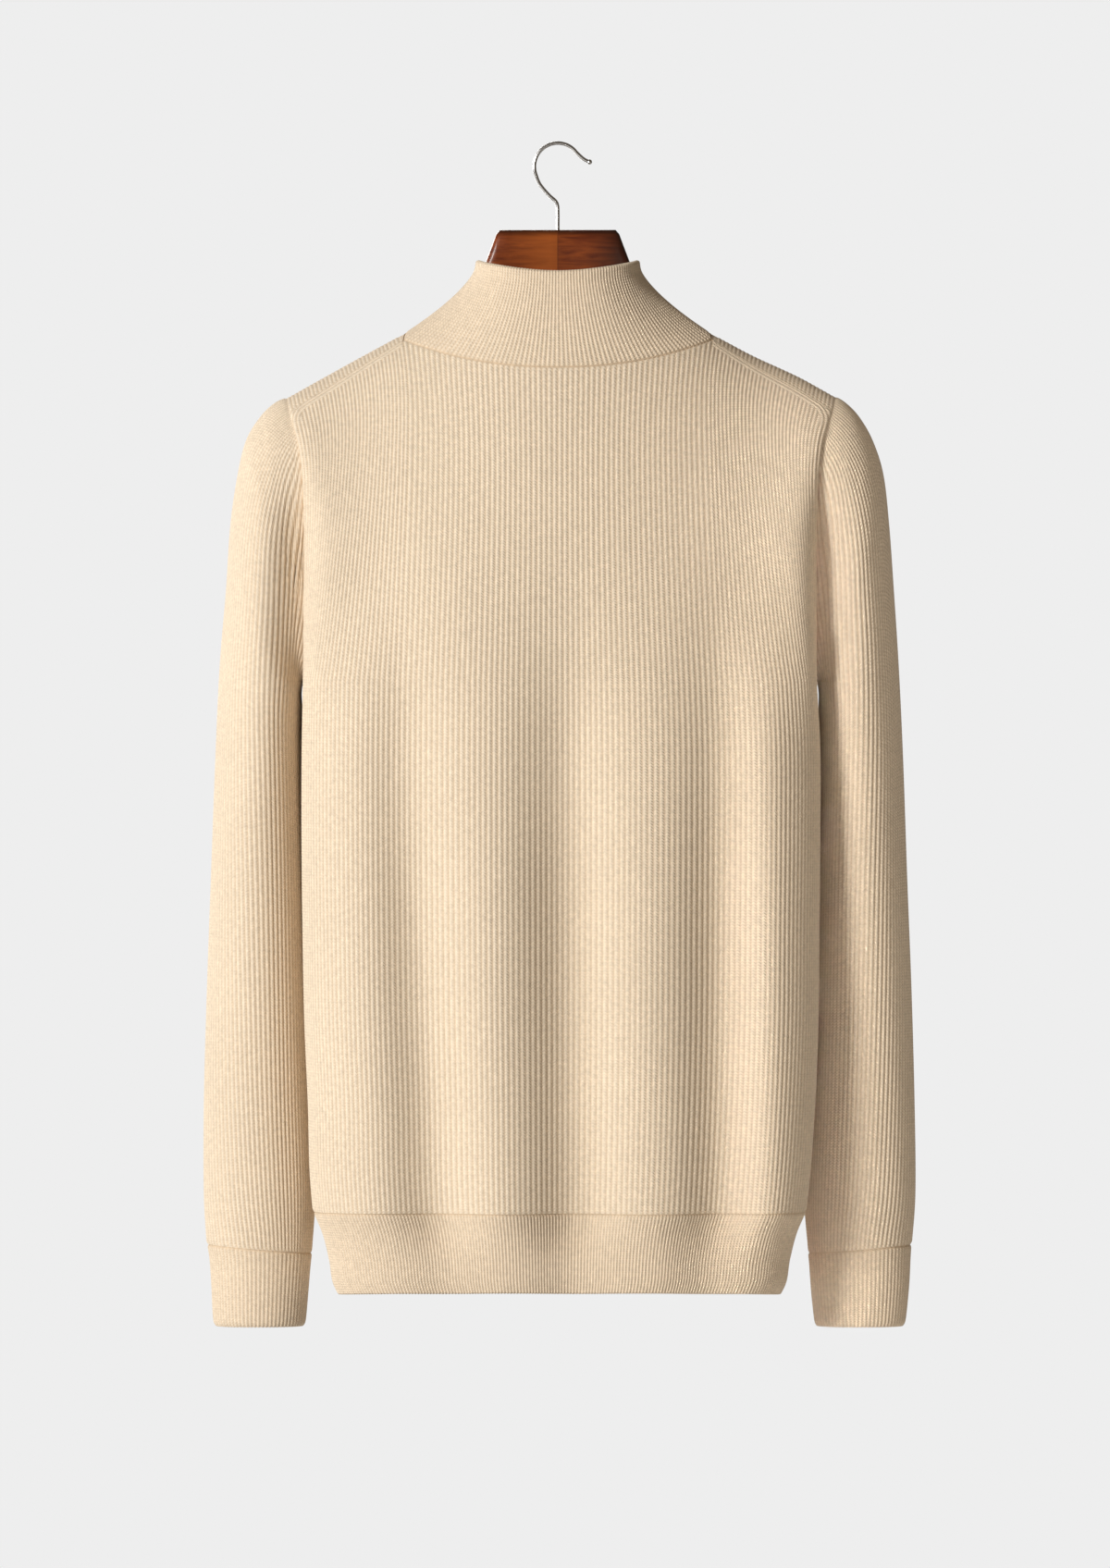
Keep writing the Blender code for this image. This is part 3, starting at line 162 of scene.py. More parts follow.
# %% The body's surface
def ridge_z(x):
    """Height of the shoulder's ridge: a straight slope whose start is rounded by a hypotenuse."""
    run = np.hypot(x, RIDGE_ROUND) - math.hypot(RIDGE_NECK_X, RIDGE_ROUND)
    return RIDGE_NECK_Z - RIDGE_SLOPE * run


def armhole_x(side, share):
    """The armhole's x at a share of its height."""
    return through(share, ARMHOLE[:, 0], ARMHOLE[:, 1 if side > 0 else 2])


def fold_depth(x, z, face):
    """Sum of bell-shaped troughs, each fading in down the body."""
    depth = np.zeros(np.broadcast(x, z).shape)
    fade = smooth((FOLD_START_Z - z) / (FOLD_START_Z - FOLD_FULL_Z))
    drop = np.clip((FOLD_LEAN_Z - z) / (FOLD_LEAN_Z - HEM_SEAM_Z), 0, 1)
    for fold_face, x_chest, x_hem, width, deepest in FOLDS:
        if fold_face == face:
            middle = x_chest + (x_hem - x_chest) * drop
            depth = depth + deepest * fade * bell(x - middle, width)
    return depth


def angle_at_share(share):
    """Twice the arcsine of the root of a share of height."""
    return 2 * np.arcsin(np.sqrt(np.clip(share, 0, 1)))


SEAM_ANGLE = float(angle_at_share(1 - SEAM_DROP_ARM / ARMHOLE_HEIGHT))


def shoulder_end_x(side):
    """The x at which the shoulder seam meets the armhole's edge."""
    return float(armhole_x(side, np.sin(SEAM_ANGLE / 2) ** 2))


def seam_sink(z):
    """How far the armhole's seam lies in a valley at a height: none at the shoulder or underarm."""
    share = np.clip((z - UNDERARM_Z) / ARMHOLE_HEIGHT, 0, 1)
    return SINK_DEPTH * smooth((SINK_TOP_Z - z) / SINK_REACH_Z) * 2 * np.sqrt(share * (1 - share))


def upper_point(side, face, share_x, edge_angle, angle, sunk=1.0):
    """Above the underarm. The height rises as the squared sine of half the section angle; the
    depth is the chest's rounded section blended into the oval of the armhole's edge, whose seam
    sinks into its valley."""
    edge_share = np.sin(edge_angle / 2) ** 2
    start = FRONT_EDGE_X if face < 0 else 0.0
    x = start + (armhole_x(side, edge_share) - start) * share_x
    share = np.sin(angle / 2) ** 2
    lift = RIGHT_LIFT * smooth((x - RIGHT_LIFT_X) / RIGHT_LIFT_RUN) if side < 0 else 0.0
    z = UNDERARM_Z + (ridge_z(x) + lift - UNDERARM_Z) * share
    deep = UPPER_BACK_DEPTH if face > 0 else UPPER_FRONT_DEPTH
    middle = deep * np.sqrt(np.clip(1 - share**2, 0, 1)) * np.where(angle > np.pi, -1, 1)
    edge = ARMHOLE_HALF_DEPTH * np.sin(angle)
    power = SECTION_POWER - (SECTION_POWER - SHOULDER_POWER) * np.sqrt(edge_share)
    bulge = np.clip(1 - share_x**SECTION_POWER, 0, 1) ** (1 / power)
    reach = EDGE_POWER + (EDGE_POWER_LOW - EDGE_POWER) * (1 - smooth(edge_share / EDGE_LOW_SHARE))
    y = edge * share_x**reach + middle * bulge
    folds = fold_depth(side * x, z, face) * (1 - share_x**FOLD_EDGE_POWER)
    y = face * (y - folds * (angle < np.pi))
    y = y - sunk * face * seam_sink(z) * share_x**SINK_POWER
    return np.stack([side * x, y, z], axis=-1)


def lower_point(side, face, share_x, z):
    """Below the underarm: a rounded rectangle's quarter, less the folds."""
    edge = through(z, BODY[:, 0], BODY[:, 1 if side > 0 else 2])
    deep = through(z, BODY[:, 0], BODY[:, 3 if face > 0 else 4])
    start = FRONT_EDGE_X if face < 0 else 0.0
    x = start + (edge - start) * share_x
    shift = SIDE_SHIFT * smooth((UNDERARM_Z - z) / SHIFT_HEIGHT)
    bulge = np.clip(1 - share_x**SECTION_POWER, 0, 1) ** (1 / SECTION_POWER)
    y = shift + (face * deep - shift) * bulge
    y = y - face * fold_depth(side * x, z, face) * (1 - share_x**FOLD_EDGE_POWER)
    return np.stack([side * x, y, z + 0 * share_x], axis=-1)


# %% Where each rib of a panel starts and ends
NECK_CROWDING, FRONT_NECK_POWER, NECK_SIDE_Y = 0.30, 1.95, -0.018
LEAST_ANGLE, HALVINGS = 0.2, 40  # where the search for the neckline starts, and its steps


def low_shares():
    """Shares of the half width at even steps of length round the chest's rounded section."""
    angle = np.linspace(0.0, np.pi / 2, 2000)
    x = CHEST_X * np.sin(angle) ** (2 / SECTION_POWER)
    y = CHEST_DEPTH * np.cos(angle) ** (2 / SECTION_POWER)
    return along(np.stack([x, y], axis=1), COLUMNS * TURNS)[:, 0] / CHEST_X


def front_neckline(side, corner_angle, count):
    """The front neckline's plan is half a rounded oval; the section angle of each of its points is
    found by halving an interval until the surface's depth is the plan's. Columns lie at even steps
    of a run that counts depth and height by NECK_CROWDING only, so few end on its steep part."""
    turn = np.linspace(0.0, np.pi / 2, 600)
    plan_x = NECK_X * np.cos(turn) ** (2 / FRONT_NECK_POWER)
    plan_y = NECK_SIDE_Y + (NECK_FRONT_Y - NECK_SIDE_Y) * np.sin(turn) ** (2 / FRONT_NECK_POWER)
    keep = plan_x >= FRONT_EDGE_X
    plan = np.stack([plan_x[keep], plan_y[keep]], axis=1)
    plan = np.concatenate([plan, [[FRONT_EDGE_X, NECK_FRONT_Y]]])
    top_x = shoulder_end_x(side)
    low, high = np.full(len(plan), LEAST_ANGLE), np.full(len(plan), corner_angle)
    share_x = (plan[:, 0] - FRONT_EDGE_X) / (top_x - FRONT_EDGE_X)
    edge = np.full(len(plan), 2 * np.pi - SEAM_ANGLE)
    for _ in range(HALVINGS):
        mid = (low + high) / 2
        outside = -upper_point(side, -1, share_x, edge, mid)[:, 1] > plan[:, 1]
        low, high = np.where(outside, mid, low), np.where(outside, high, mid)
    z = upper_point(side, -1, share_x, edge, mid)[:, 2]
    line = np.stack([plan[:, 0], plan[:, 1], z, mid], axis=1)
    line[0, 3] = corner_angle
    run = run_of(line[:, :3] * (1.0, NECK_CROWDING, NECK_CROWDING))
    want = np.linspace(0.0, run[-1], count + 1)
    return np.interp(want, run, line[:, 0])[::-1], np.interp(want, run, line[:, 3])[::-1]


def panel_tops(face, side):
    """Share of width and section angle at each column's top: the neckline, then the shoulder seam,
    which is set back behind the ridge."""
    neck, shoulder = NECK_RIBS * TURNS, (COLUMNS - NECK_RIBS) * TURNS
    top_x = shoulder_end_x(side)
    start = FRONT_EDGE_X if face < 0 else 0.0
    seam_x = np.linspace(NECK_X, top_x, shoulder + 1)
    share = np.clip((seam_x - NECK_X) / (SHOULDER_X - NECK_X), 0, 1)
    seam_drop = SEAM_DROP_NECK + (SEAM_DROP_ARM - SEAM_DROP_NECK) * share
    seam_angle = angle_at_share(1 - seam_drop / (ridge_z(seam_x) - UNDERARM_Z))
    if face > 0:
        x = np.linspace(0.0, NECK_X, neck + 1)
        z = NECK_BACK_Z + NECK_BACK_RISE * (x / NECK_X) ** NECK_POWER
        z = z + (ridge_z(NECK_X) - seam_drop[0] - z[-1]) * (x / NECK_X) ** NECK_POWER
        neck_angle = angle_at_share((z - UNDERARM_Z) / (ridge_z(x) - UNDERARM_Z))
    else:
        seam_angle = 2 * np.pi - seam_angle
        x, neck_angle = front_neckline(side, seam_angle[0], neck)
    x = np.concatenate([x[:-1], seam_x])
    angle = np.concatenate([neck_angle[:-1], seam_angle])
    return (x - start) / (top_x - start), angle


# %% The four half panels
# steps, close steps and the share that those take: below the underarm, and above it by face
LOW_ROWS, UPPER_ROWS = (56, 4, 0.012), {1: (36, 16, 0.070), -1: (48, 16, 0.055)}


def row_levels(count, dense, near):
    """Levels from 0 to 1 in count even steps, with dense short ones in the last stretch, near."""
    even, close = np.linspace(0, 1 - near, count + 1), np.linspace(1 - near, 1, dense + 1)
    return np.concatenate([even[:-1], close])


def unpinched(grid):
    """Near the underarm every column's depth is a smooth step from the row below to the row above;
    the seam keeps its own depth, and its pull fades as a bell over PINCH_REACH of cloth."""
    edge = grid[:, -1]
    low = int(np.searchsorted(edge[:, 2], PINCH_LOW_Z))
    high = int(np.searchsorted(edge[:, 2], PINCH_HIGH_Z))
    here = grid[low:high + 1]
    step = smooth((here[..., 2] - here[:1, :, 2]) / (here[-1:, :, 2] - here[:1, :, 2]))
    even = here[:1, :, 1] + (here[-1:, :, 1] - here[:1, :, 1]) * step
    reach = run_of(grid[low, ::-1])[::-1]
    pull = bell(reach, PINCH_REACH)[None, :]
    made = grid.copy()
    made[low:high + 1, :, 1] = even + (edge[low:high + 1, 1:2] - even[:, -1:]) * pull
    return made


def half_panel(side, face):
    """Half a panel's points: rows from the hem seam up, columns from the centre outwards."""
    low_share = low_shares()
    top_share, top_angle = panel_tops(face, side)
    heights = UNDERARM_Z + (HEM_SEAM_Z - UNDERARM_Z) * row_levels(*LOW_ROWS)[::-1]
    rows = [lower_point(side, face, low_share, z) for z in heights]
    edge_top = SEAM_ANGLE if face > 0 else 2 * np.pi - SEAM_ANGLE
    for v in row_levels(*UPPER_ROWS[face])[1:]:
        share_x = low_share + (top_share - low_share) * smooth(v)
        edge_angle = np.full(len(share_x), edge_top * v)
        rows.append(upper_point(side, face, share_x, edge_angle, top_angle * v))
    return unpinched(np.array(rows))


HALVES = {(side, face): half_panel(side, face) for side in (1, -1) for face in (1, -1)}
for key, grid in HALVES.items():
    print("half panel", key, grid.shape, np.round(grid[-1, 0], 4), np.round(grid[-1, -1], 4))

# %% [markdown]
# ## Ribs
# A rib is a column of knit stitches that stands over the purl column beside it. Bump mapping alone
# would leave the outline and the grazing light smooth, so the ribs are raised in the points, and
# bump adds only the stitches. Beside a shoulder the outer ribs turn and run along the seam.

# %% Raised ribs
RIB_RISE, SLEEVE_RISE = 0.0008, 0.0011  # heights of the body's and of the sleeves' ribs
BAND_PITCH = 0.0036  # width of a rib that runs along the shoulder seam
BAND_RIBS = 2.0  # ribs that run along it
CORNER_RIBS, TURN_POWER = 5.0, 2.5  # the corner that those ribs are turned round
SEAM_LEVEL, SEAM_REACH = 0.00025, 0.0022  # the cloth's height at a seam; how far ribs fade there
RIB_ROOM = 0.0030  # ribs that lie closer than this are lower


def crest(phase):
    """Height of a rib from 0 to 1: the sine's size to the power 3/4, so crests are round and
    grooves are narrow."""
    return np.abs(np.sin(np.pi * phase)) ** 0.75


def turned_ribs(from_side, from_top):
    """Rib count from the nearer edge, its corner between side and top rounded by a power mean;
    past BAND_RIBS from the top the ribs run down the panel again."""
    a = np.clip(CORNER_RIBS - from_side, 0, CORNER_RIBS)
    b = np.clip(CORNER_RIBS - from_top, 0, CORNER_RIBS)
    nearest = CORNER_RIBS - (a**TURN_POWER + b**TURN_POWER) ** (1 / TURN_POWER)
    return np.where(nearest < BAND_RIBS, nearest, from_side)


def runs(grid):
    """For each point the length of its column above it, and below it."""
    steps = np.linalg.norm(np.diff(grid, axis=0), axis=-1)
    none = np.zeros((1, grid.shape[1]))
    above = np.concatenate([np.cumsum(steps[::-1], axis=0)[::-1], none])
    return above, np.concatenate([none, np.cumsum(steps, axis=0)])


def uncrowded(grid):
    """1 where ribs lie RIB_ROOM apart or more, square to their run, down to 0 where they meet, by
    the power 3/2 of the least room beside each column: ribs are lower where they crowd."""
    across = np.diff(grid, axis=1) * TURNS
    way = unit(np.gradient(grid, axis=0))[:, :-1]
    apart = np.linalg.norm(across - (across * way).sum(-1, keepdims=True) * way, axis=-1)
    apart = np.pad(apart, ((0, 0), (TURNS, TURNS - 1)), "edge")
    least = np.min([apart[:, i:i + grid.shape[1]] for i in range(2 * TURNS - 1)], axis=0)
    return np.clip(least / RIB_ROOM, 0, 1) ** 1.5


def column_ribs(grid):
    """Each point's rib, one to TURNS columns, and the length of its column above and below it."""
    above, below = runs(grid)
    return np.broadcast_to(np.arange(grid.shape[1]) / TURNS, above.shape), above, below


def relief(ribs, rise, *seams):
    """Rib height, fading at each seam to SEAM_LEVEL. seams are distances to seams."""
    near = np.ones(ribs.shape)
    for distance in seams:
        near = near * smooth(distance / SEAM_REACH)
    return rise * crest(ribs) * near + SEAM_LEVEL * (1 - near)


# %% [markdown]
# ## From points to a wall of knit
# Solidify would double all the fine rows on the inside, where nobody looks. So a wall is one grid
# that runs up the outside, over the rim and down the inside in a few long rows: it closes on
# itself.

# %% Walls
INNER_ROWS = 8  # outer rows to one inner row
# the second number is how dark the painted shade along a band's seam is
DIP_REACH, SEAM_SHADE = 0.0014, 1.1  # a band's groove at its seam: half width, and how dark it is
ROLL = np.radians((40.0, 90.0, 140.0))[:, None, None]


def make_mesh(name, points, blocks, material, uv=None, crests=None, rim=None):
    """A smooth-shaded mesh from points and blocks of faces that each have one number of sides. An
    edge whose two ends are both marked in rim is sharp."""
    mesh = bpy.data.meshes.new(name)
    mesh.vertices.add(len(points))
    mesh.vertices.foreach_set("co", np.ascontiguousarray(points, np.float32).ravel())
    corners = np.concatenate([np.asarray(block).ravel() for block in blocks]).astype(np.int32)
    sizes = np.concatenate([np.full(len(block), len(block[0])) for block in blocks])
    mesh.loops.add(len(corners))
    mesh.loops.foreach_set("vertex_index", corners)
    mesh.polygons.add(len(sizes))
    starts = np.concatenate([[0], np.cumsum(sizes)[:-1]]).astype(np.int32)
    mesh.polygons.foreach_set("loop_start", starts)
    mesh.polygons.foreach_set("use_smooth", np.ones(len(sizes), bool))
    if uv is not None:
        layer = mesh.uv_layers.new(name="knit")
        layer.data.foreach_set("uv", np.ascontiguousarray(uv[corners], np.float32).ravel())
    if crests is not None:
        layer = mesh.attributes.new("crest", "FLOAT", "POINT")
        layer.data.foreach_set("value", crests.astype(np.float32))
    mesh.update(calc_edges=True)
    if rim is not None:
        ends = np.empty(len(mesh.edges) * 2, np.int32)
        mesh.edges.foreach_get("vertices", ends)
        layer = mesh.attributes.new("sharp_edge", "BOOLEAN", "EDGE")
        layer.data.foreach_set("value", rim[ends.reshape(-1, 2)].all(axis=1))
    mesh.materials.append(material)
    piece = bpy.data.objects.new(name, mesh)
    bpy.context.scene.collection.objects.link(piece)
    print(name, len(points), "points,", int((sizes - 2).sum()), "triangles")
    return piece


def rolled(grid, out, normals, height, here, before):
    """Three rows round half a circle of the wall's thickness, from row here away from before."""
    way = unit(grid[here] - grid[before])
    half = (WALL + height[here][:, None]) / 2
    return out[here] + way * half * np.sin(ROLL) - normals[here] * half * (1 - np.cos(ROLL))


def side_faces(rows, columns, total, kept, top_rows, low_rows):
    """Faces that close an open wall's two side edges: one to each inner step and the outer rows
    beside it, and one round a folded end. The two sides' faces run opposite ways round."""
    first_inner = rows + top_rows
    spans = [list(range(rows - 1, first_inner + 1))] if top_rows else []
    spans += [[*range(total - low_rows - 1, total), 0]] if low_rows else []
    for step, (low, high) in enumerate(zip(kept[:-1], kept[1:])):
        inner_low = first_inner + len(kept) - 1 - step
        spans.append([*range(low, high + 1), inner_low - 1, inner_low])
    return ([np.array([span]) * columns for span in spans]
            + [np.array([span[::-1]]) * columns + columns - 1 for span in spans])


def knit_wall(name, grid, normals, height, ribs, material, closed=False, folded=(), seam=None):
    """Outer rows at grid + normals * height; then down the inside at grid - normals * WALL. A row
    of ends in folded ("top", "bottom") is rolled over. By the bell of its distance to the seam, the
    knit takes the grooves' painted shade colour."""
    rows, columns = grid.shape[:2]
    across, up = np.roll(grid, -1, 1)[:-1, :-1] - grid[:-1, :-1], grid[1:, :-1] - grid[:-1, :-1]
    inside_out = np.median((np.cross(across, up) * normals[:-1, :-1]).sum(-1)) < 0
    kept = np.unique(np.append(np.arange(0, rows, INNER_ROWS), rows - 1))
    out = grid + normals * height[..., None]
    inner = grid[kept] - normals[kept] * WALL
    top_roll, low_roll = (rolled(grid, out, normals, height, here, before)[:3 * (end in folded)]
                          for end, here, before in (("top", -1, -2), ("bottom", 0, 1)))
    points = np.concatenate([out, top_roll, inner[::-1], low_roll[::-1]])
    total = len(points)
    r = np.arange(total)[:, None]
    c = np.arange(columns if closed else columns - 1)[None, :]
    a, b = r * columns + c, r * columns + (c + 1) % columns
    up_a, up_b = (r + 1) % total * columns + c, (r + 1) % total * columns + (c + 1) % columns
    blocks = [np.stack([a, b, up_b, up_a], axis=-1).reshape(-1, 4)]
    if not closed:
        blocks += side_faces(rows, columns, total, kept, len(top_roll), len(low_roll))
    if inside_out:
        blocks = [block[:, ::-1] for block in blocks]
    length = run_of(points.mean(axis=1))
    u = np.broadcast_to(ribs[rows // 2], (total, columns))
    uv = np.stack([u, np.broadcast_to(length[:, None], u.shape)], axis=-1).reshape(-1, 2)
    high = crest(ribs)
    # painted shade: the grooves' colour laid along a band's seam by the bell of its distance
    if seam is not None:
        high = high - SEAM_SHADE * bell(seam, DIP_REACH)
    crests = np.concatenate([high, high[-1:].repeat(len(top_roll), 0), high[kept[::-1]],
                             high[:1].repeat(len(low_roll), 0)])
    rim = np.zeros((total, columns), bool)
    rim[rows - 1] = "top" not in folded
    rim[0] = "bottom" not in folded
    if not closed:
        rim[:rows, 0] = rim[:rows, -1] = True
    return make_mesh(name, points.reshape(-1, 3), blocks, material, uv, crests.ravel(), rim.ravel())


# %% [markdown]
# ## The knit
# Cream wool or cotton yarn: matt, with a soft sheen at grazing angles. The V of each stitch is a
# bump read from the piece's own UV map (ribs across, metres up), and the grooves between ribs are
# a warmer, deeper tone, because light reaches them only off the yarn beside them.

# %% Material helpers
def new_material(name):
    """A material that holds one Principled shader; gives the material, the shader and the tree."""
    material = bpy.data.materials.new(name)
    material.use_nodes = True
    tree = material.node_tree
    return material, tree.nodes["Principled BSDF"], tree


def node(tree, kind, inputs=(), **settings):
    """A node with its settings made and its inputs set or linked, in the order given."""
    made = tree.nodes.new("ShaderNode" + kind)
    for key, value in settings.items():
        setattr(made, key, value)
    for key, value in dict(inputs).items():
        if isinstance(value, bpy.types.NodeSocket):
            tree.links.new(value, made.inputs[key])
        else:
            made.inputs[key].default_value = value
    return made


def math_node(tree, operation, first, second=0.0):
    """One step of arithmetic."""
    return node(tree, "Math", {0: first, 1: second}, operation=operation).outputs[0]


def plus(tree, first, second):
    """first + second."""
    return math_node(tree, "ADD", first, second)


def times(tree, first, second):
    """first times second."""
    return math_node(tree, "MULTIPLY", first, second)


def object_place(tree):
    """The point in the piece's own coordinates."""
    return node(tree, "TexCoord").outputs["Object"]


def noise(tree, place, scale, detail, **more):
    """Fractal noise between 0 and 1, scale bumps to a metre, with detail finer layers."""
    settings = {"Vector": place, "Scale": scale, "Detail": detail, **more}
    return node(tree, "TexNoise", settings).outputs["Fac"]


def between(tree, value, low, high, first, last):
    """first at low, last at high, and a straight line between."""
    return node(tree, "MapRange", {0: value, 1: low, 2: high, 3: first, 4: last}).outputs[0]


def mix_colours(tree, share, first, second, blend="MIX"):
    """first turned into second by share."""
    made = tree.nodes.new("ShaderNodeMix")
    made.data_type = "RGBA"
    made.blend_type = blend
    for number, value in ((0, share), (6, first), (7, second)):
        if isinstance(value, bpy.types.NodeSocket):
            tree.links.new(value, made.inputs[number])
        else:
            made.inputs[number].default_value = value
    return made.outputs[2]


def dress(tree, shader, colour, height, strength, distance, **constants):
    """Link the colour, put the height through a bump, and set the shader's constants by name."""
    tree.links.new(colour, shader.inputs["Base Color"])
    settings = {"Height": height, "Strength": strength, "Distance": distance}
    tree.links.new(node(tree, "Bump", settings).outputs[0], shader.inputs["Normal"])
    for word, value in constants.items():
        shader.inputs[word.replace("_", " ")].default_value = value


# %% The knit's material
STITCH, FINE_STITCH, STITCH_SLANT = 0.0021, 0.0018, 1.1


def knit_material(name, crest_colour, groove_shade_colour, stitch):
    """Base colour: groove to crest by the crest attribute, mottled by noise; the groove colour is
    painted shade. Bump: the sine of (length / stitch + a slant times the distance from the rib's
    middle), and fine fuzz."""
    material, shader, tree = new_material(name)
    place = object_place(tree)
    parts = node(tree, "SeparateXYZ", {0: node(tree, "UVMap", uv_map="knit").outputs[0]})
    high = node(tree, "Attribute", attribute_name="crest").outputs["Fac"]
    from_middle = math_node(tree, "SUBTRACT", math_node(tree, "FRACT", parts.outputs[0]), 0.5)
    slant = times(tree, math_node(tree, "ABSOLUTE", from_middle), STITCH_SLANT)
    slanted = plus(tree, math_node(tree, "DIVIDE", parts.outputs[1], stitch), slant)
    stitches = math_node(tree, "SINE", times(tree, slanted, 2 * math.pi))
    fuzz = noise(tree, place, 900.0, 3.0, Roughness=0.6)
    flecks, clouds = noise(tree, place, 320.0, 2.0), noise(tree, place, 9.0, 2.0)
    mottle = plus(tree, times(tree, flecks, 0.40), times(tree, clouds, 0.10))
    shade = plus(tree, mottle, 0.75)
    stitched = times(tree, shade, plus(tree, times(tree, stitches, 0.03), 1.0))
    grey = node(tree, "CombineXYZ", {0: stitched, 1: stitched, 2: stitched}).outputs[0]
    # painted shade: the grooves take the darker, warmer groove colour by the crest attribute
    base = mix_colours(tree, high, (*groove_shade_colour, 1.0), (*crest_colour, 1.0))
    colour = mix_colours(tree, 1.0, base, grey, "MULTIPLY")
    height = plus(tree, times(tree, stitches, 0.5), times(tree, fuzz, 1.2))
    dress(tree, shader, colour, height, 0.55, 0.0004, Roughness=0.92, Specular_IOR_Level=0.15,
          Sheen_Weight=0.25, Sheen_Roughness=0.45, Sheen_Tint=(1.0, 0.90, 0.76, 1.0))
    return material


# the second colour of each is the grooves' painted shade
KNIT = knit_material("cream rib knit", (0.82, 0.695, 0.545), (0.655, 0.505, 0.35), STITCH)
BAND_KNIT = knit_material(
    "fine cream rib knit", (0.79, 0.66, 0.51), (0.67, 0.52, 0.365), FINE_STITCH)
print(KNIT.name, "and", BAND_KNIT.name)

# %% [markdown]
# ## Back and fronts
# The back is one panel from side seam to side seam; each front runs from the zip over the shoulder
# to the set-back seam. Both could be one tube cut in three, but a maker knits them as panels whose
# ribs follow the armholes, and the seams between them show.


# %% Back and fronts
EDGE_RIBS_RISE = 0.30  # how much higher the ribs along the shoulder seam stand
STRIP_RISE, STRIP_REACH = 0.55, 0.09  # a front's flatter ribs over the shoulder, and how far
RIB_STEP = 0.0035  # width of a rib beside a side seam
FAR = 99.0  # a rib count that no edge reaches


def panel_relief(grid, from_side, shoulder):
    """Ribs of a panel, turned along the shoulder seam where shoulder is true, and their height: the
    turned ones stand higher, and a front's ribs are pulled flatter over the hanger's shoulder."""
    above, below = runs(grid)
    from_top = np.where(shoulder[None, :], above / BAND_PITCH, FAR)
    ribs = turned_ribs(np.broadcast_to(from_side, above.shape), from_top)
    side = np.broadcast_to(from_side * RIB_STEP, above.shape)
    turned = (ribs < BAND_RIBS) * shoulder[None, :]
    rise = RIB_RISE * uncrowded(grid) * (1 + EDGE_RIBS_RISE * turned)
    if not shoulder.any():
        rise = rise * (STRIP_RISE + (1 - STRIP_RISE) * smooth(above / STRIP_REACH))
    return ribs, relief(ribs, rise, above, below, side)


GARMENT = {}
half_columns = COLUMNS * TURNS
back = np.concatenate([HALVES[-1, 1][:, :0:-1], HALVES[1, 1]], axis=1)
back_n = surface_normals(back, -1)
count = np.abs(np.arange(-half_columns, half_columns + 1))
ribs, height = panel_relief(back, (half_columns - count) / TURNS, count > NECK_RIBS * TURNS)
GARMENT["back"] = knit_wall("back_knit", back, back_n, height, ribs, KNIT)
for word, side in (("left", 1), ("right", -1)):
    grid = HALVES[side, -1]
    normals = surface_normals(grid, side)
    count = np.arange(half_columns + 1)
    ribs, height = panel_relief(grid, (half_columns - count) / TURNS, count < 0)
    GARMENT[word + "_front"] = knit_wall(word + "_front_knit", grid, normals, height, ribs, KNIT)

# %% [markdown]
# ## Sleeves and cuffs
# A sleeve is a tube from the armhole's loop to the cuff. Its rings are ovals set by their outer and
# inner points, so it hangs from the shoulder and swings a little forward, as a filled sleeve does.

# %% The sleeve tables
# outer z, left outer x, right outer x, inner z, left inner x, right inner x, half depth, middle y
SLEEVE = np.array([
    (-0.1905, 0.2075, 0.2112, -0.3965, 0.1882, 0.1914, 0.0530, -0.001),
    (-0.2000, 0.2176, 0.2205, -0.3985, 0.1888, 0.1922, 0.0545, -0.003),
    (-0.2170, 0.2281, 0.2305, -0.4015, 0.1892, 0.1927, 0.0560, -0.006),
    (-0.2420, 0.2345, 0.2386, -0.4060, 0.1895, 0.1931, 0.0575, -0.010),
    (-0.2790, 0.2400, 0.2430, -0.4130, 0.1892, 0.1932, 0.0590, -0.015),
    (-0.3270, 0.2434, 0.2466, -0.4250, 0.1892, 0.1934, 0.0600, -0.020),
    (-0.3830, 0.2482, 0.2504, -0.4460, 0.1888, 0.1932, 0.0600, -0.026),
    (-0.4510, 0.2516, 0.2538, -0.4830, 0.1878, 0.1926, 0.0580, -0.032),
    (-0.5395, 0.2550, 0.2570, -0.5520, 0.1862, 0.1908, 0.0530, -0.036),
    (-0.6200, 0.2580, 0.2602, -0.6240, 0.1845, 0.1892, 0.0480, -0.039),
    (-0.7000, 0.2603, 0.2625, -0.7020, 0.1822, 0.1862, 0.0430, -0.041),
    (-0.7700, 0.2605, 0.2633, -0.7720, 0.1800, 0.1830, 0.0380, -0.042),
    (-0.8094, 0.2584, 0.2607, -0.8155, 0.1822, 0.1856, 0.0330, -0.042),
])
CUFF = np.array([
    (-0.8094, 0.2584, 0.2607, -0.8155, 0.1822, 0.1856, 0.0330, -0.042),
    (-0.8200, 0.2566, 0.2600, -0.8255, 0.1834, 0.1866, 0.0305, -0.042),
    (-0.8400, 0.2552, 0.2590, -0.8450, 0.1850, 0.1880, 0.0290, -0.042),
    (-0.8640, 0.2540, 0.2566, -0.8650, 0.1868, 0.1902, 0.0278, -0.042),
    (-0.8690, 0.2525, 0.2550, -0.8690, 0.1882, 0.1915, 0.0265, -0.042),
])
SLEEVE_RIBS, CUFF_RIBS = 76, 66
SLEEVE_OVAL, CUFF_OVAL = (0.033, 0.055), (0.034, 0.029)  # half widths and depths to space ribs by
SLEEVE_RIB, RIB_SMOOTHING = 0.00375, 2  # a rib's width, and how often its rows are evened
CAP_RING, CAP_RUN = 6.5, 0.16  # the ring and the length down to which ribs end at the seam
SLEEVE_ROW, BAND_ROW = 0.0056, 0.0030  # steps between rows
EDGES = [0.0, 0.0007, 0.0015, 0.0025]  # close rows at every edge, by distance
BAND_RISE, SEAM_DIP = 0.0008, 0.0008  # height of a band's ribs, and depth of its seam's groove


